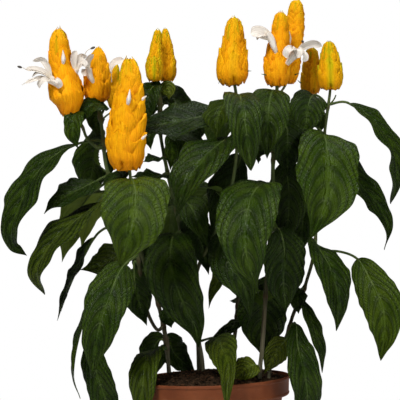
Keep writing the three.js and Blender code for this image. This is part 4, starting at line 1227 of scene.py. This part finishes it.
def lip_shape(route, width, face):
    """A strap-shaped lobe of a flower: cupped, widest past its middle and rounded at the end."""
    rows, columns = 16, 7
    t = np.linspace(0, 1, rows)[:, None]
    u = np.linspace(-1, 1, columns)[None, :]
    places, _, side, normal = seen_path(route).carried(t[:, 0], face)
    half = width / 2 * (0.30 + 0.70 * np.sin(math.pi * np.minimum(1, 0.12 + t * 0.62)) ** 1.2)
    half = np.maximum(half * np.sqrt(np.maximum(0, 1 - ramp(t, 0.80, 1.0) ** 2)), 0.1)
    cup = half * (0.45 * u ** 2 + 0.05 * np.sin(5 * t) * u)
    upper = grid_points(places, (side, u * half), (normal, cup))
    lower = upper - normal[:, None, :] * (PETAL_THICKNESS * (1 - np.abs(u) ** 6))[..., None]
    return sheet(upper, lower, layer_grid(u * 0.5 + 0.5, t))


def petal_tube(route, radii):
    shares = np.linspace(0, 1, 16)
    spots = np.linspace(0, 1, len(radii))
    return tube(seen_path(route), np.interp(shares, spots, radii), sides=12, shares=shares)


def thread_shape(route, with_anther):
    """A stamen or style, as a thin bent thread, with a dark anther across its end."""
    path = seen_path(route)
    shares = np.linspace(0, 1, 26)
    parts = [tube(path, 0.52 - 0.20 * shares, sides=7, shares=shares, tone=(0, 0, 0, 1))]
    if with_anther:
        end, ahead = path.at(1.0)[0], path.along(1.0)[0]
        body = Path([end - ahead * 3.6, end - ahead * 1.5, end + ahead * 0.6])
        spots = np.linspace(0, 1, 9)
        radii = 0.25 + 0.75 * np.sin(math.pi * spots) ** 0.7
        parts.append(tube(body, radii, sides=8, shares=spots, look=ANTHER_LOOK))
    return joined(parts)


def build_flower(name, parts):
    makers = {"tube": petal_tube, "lip": lip_shape, "thread": thread_shape}
    shapes = [makers[kind](*values) for kind, *values in parts]
    make_piece(name, joined(shapes), [PETAL, ANTHER], crease=70)


# Floor, lights and camera, in metres

def add_object(name, data):
    holder = bpy.data.objects.new(name, data)
    bpy.context.scene.collection.objects.link(holder)
    return holder


def build_floor():
    """A pale floor that fades to plain white away from the pot, where the camera sees it."""
    size = 30.0
    fade_start, fade_end = 0.25, 0.68
    mesh = bpy.data.meshes.new("floor")
    corners = [(-size, -size, 0), (size, -size, 0), (size, size, 0), (-size, size, 0)]
    mesh.from_pydata(corners, [], [(0, 1, 2, 3)])
    nodes = Nodes("floor_paper")
    mesh.materials.append(nodes.finish((0.82, 0.82, 0.81, 1), 0.9, 0.1))
    x, y, _ = nodes.parts(nodes.place())
    far = nodes.math("SQRT", x * x + y * y).fit(fade_start, fade_end)
    camera_ray = nodes.add("LightPath", "Is Camera Ray")
    paper = Value(nodes, nodes.shader.outputs[0])
    glow = nodes.add("Emission", 0, {"Strength": 1.0})
    blend = nodes.add("MixShader", 0, {0: far * camera_ray, 1: paper, 2: glow})
    nodes.put(nodes.tree.nodes["Material Output"].inputs["Surface"], blend)
    add_object("floor", mesh)


def build_world():
    """White to the camera, and a faint light from all round to the plant."""
    to_plant, to_camera = 0.06, 1.0
    world = bpy.data.worlds.new("studio")
    bpy.context.scene.world = world
    world.use_nodes = True
    tree = world.node_tree
    background = tree.nodes["Background"]
    background.inputs["Color"].default_value = (1, 1, 1, 1)
    camera_ray = tree.nodes.new("ShaderNodeLightPath").outputs["Is Camera Ray"]
    level = tree.nodes.new("ShaderNodeMapRange")
    tree.links.new(camera_ray, level.inputs["Value"])
    level.inputs["To Min"].default_value = to_plant
    level.inputs["To Max"].default_value = to_camera
    tree.links.new(level.outputs["Result"], background.inputs["Strength"])


def area_light(name, place, size, watts):
    """A square light that faces the middle of the plant."""
    light = bpy.data.lights.new(name, "AREA")
    light.shape = "RECTANGLE"
    light.size = light.size_y = size
    light.energy = watts
    holder = add_object(name, light)
    holder.location = place
    plant_middle = Vector((0, 0, 0.25))
    holder.rotation_euler = (plant_middle - Vector(place)).to_track_quat("-Z", "Y").to_euler()


def build_lights():
    area_light("key", (-0.6, -1.15, 1.70), 0.6, 36)
    area_light("fill", (1.2, -1.5, 0.75), 0.7, 12)
    area_light("top", (0.3, 0.3, 1.7), 0.8, 10)


def build_camera():
    camera = bpy.data.cameras.new("camera")
    camera.sensor_width = 36
    camera.lens = camera.sensor_width * CAMERA_DISTANCE / (MM_PER_PIXEL * PHOTO_SIZE)
    camera.clip_start, camera.clip_end = 0.05, 60
    holder = add_object("camera", camera)
    holder.location = np.array([EYE_ACROSS, -CAMERA_DISTANCE, EYE_HEIGHT]) * METRES
    turn = Matrix.Rotation(math.radians(90), 4, "X") @ Matrix.Rotation(-CAMERA_ROLL, 4, "Z")
    holder.rotation_euler = turn.to_euler()
    bpy.context.scene.camera = holder


bpy.context.scene.view_settings.view_transform = "Standard"
build_camera()
build_world()
build_lights()
build_floor()
build_pot()
build_soil()
for number, leaf in enumerate(LEAVES):
    build_leaf(number, *leaf)
for number, leaf in enumerate(SMALLER_LEAVES):
    build_leaf(FIRST_SMALLER_LEAF + number, *leaf)
for stem in STEMS[::-1]:
    build_stem(*stem)
for number, spike in enumerate(SPIKES):
    build_spike(number, *spike)
for flower in FLOWERS:
    build_flower(*flower)
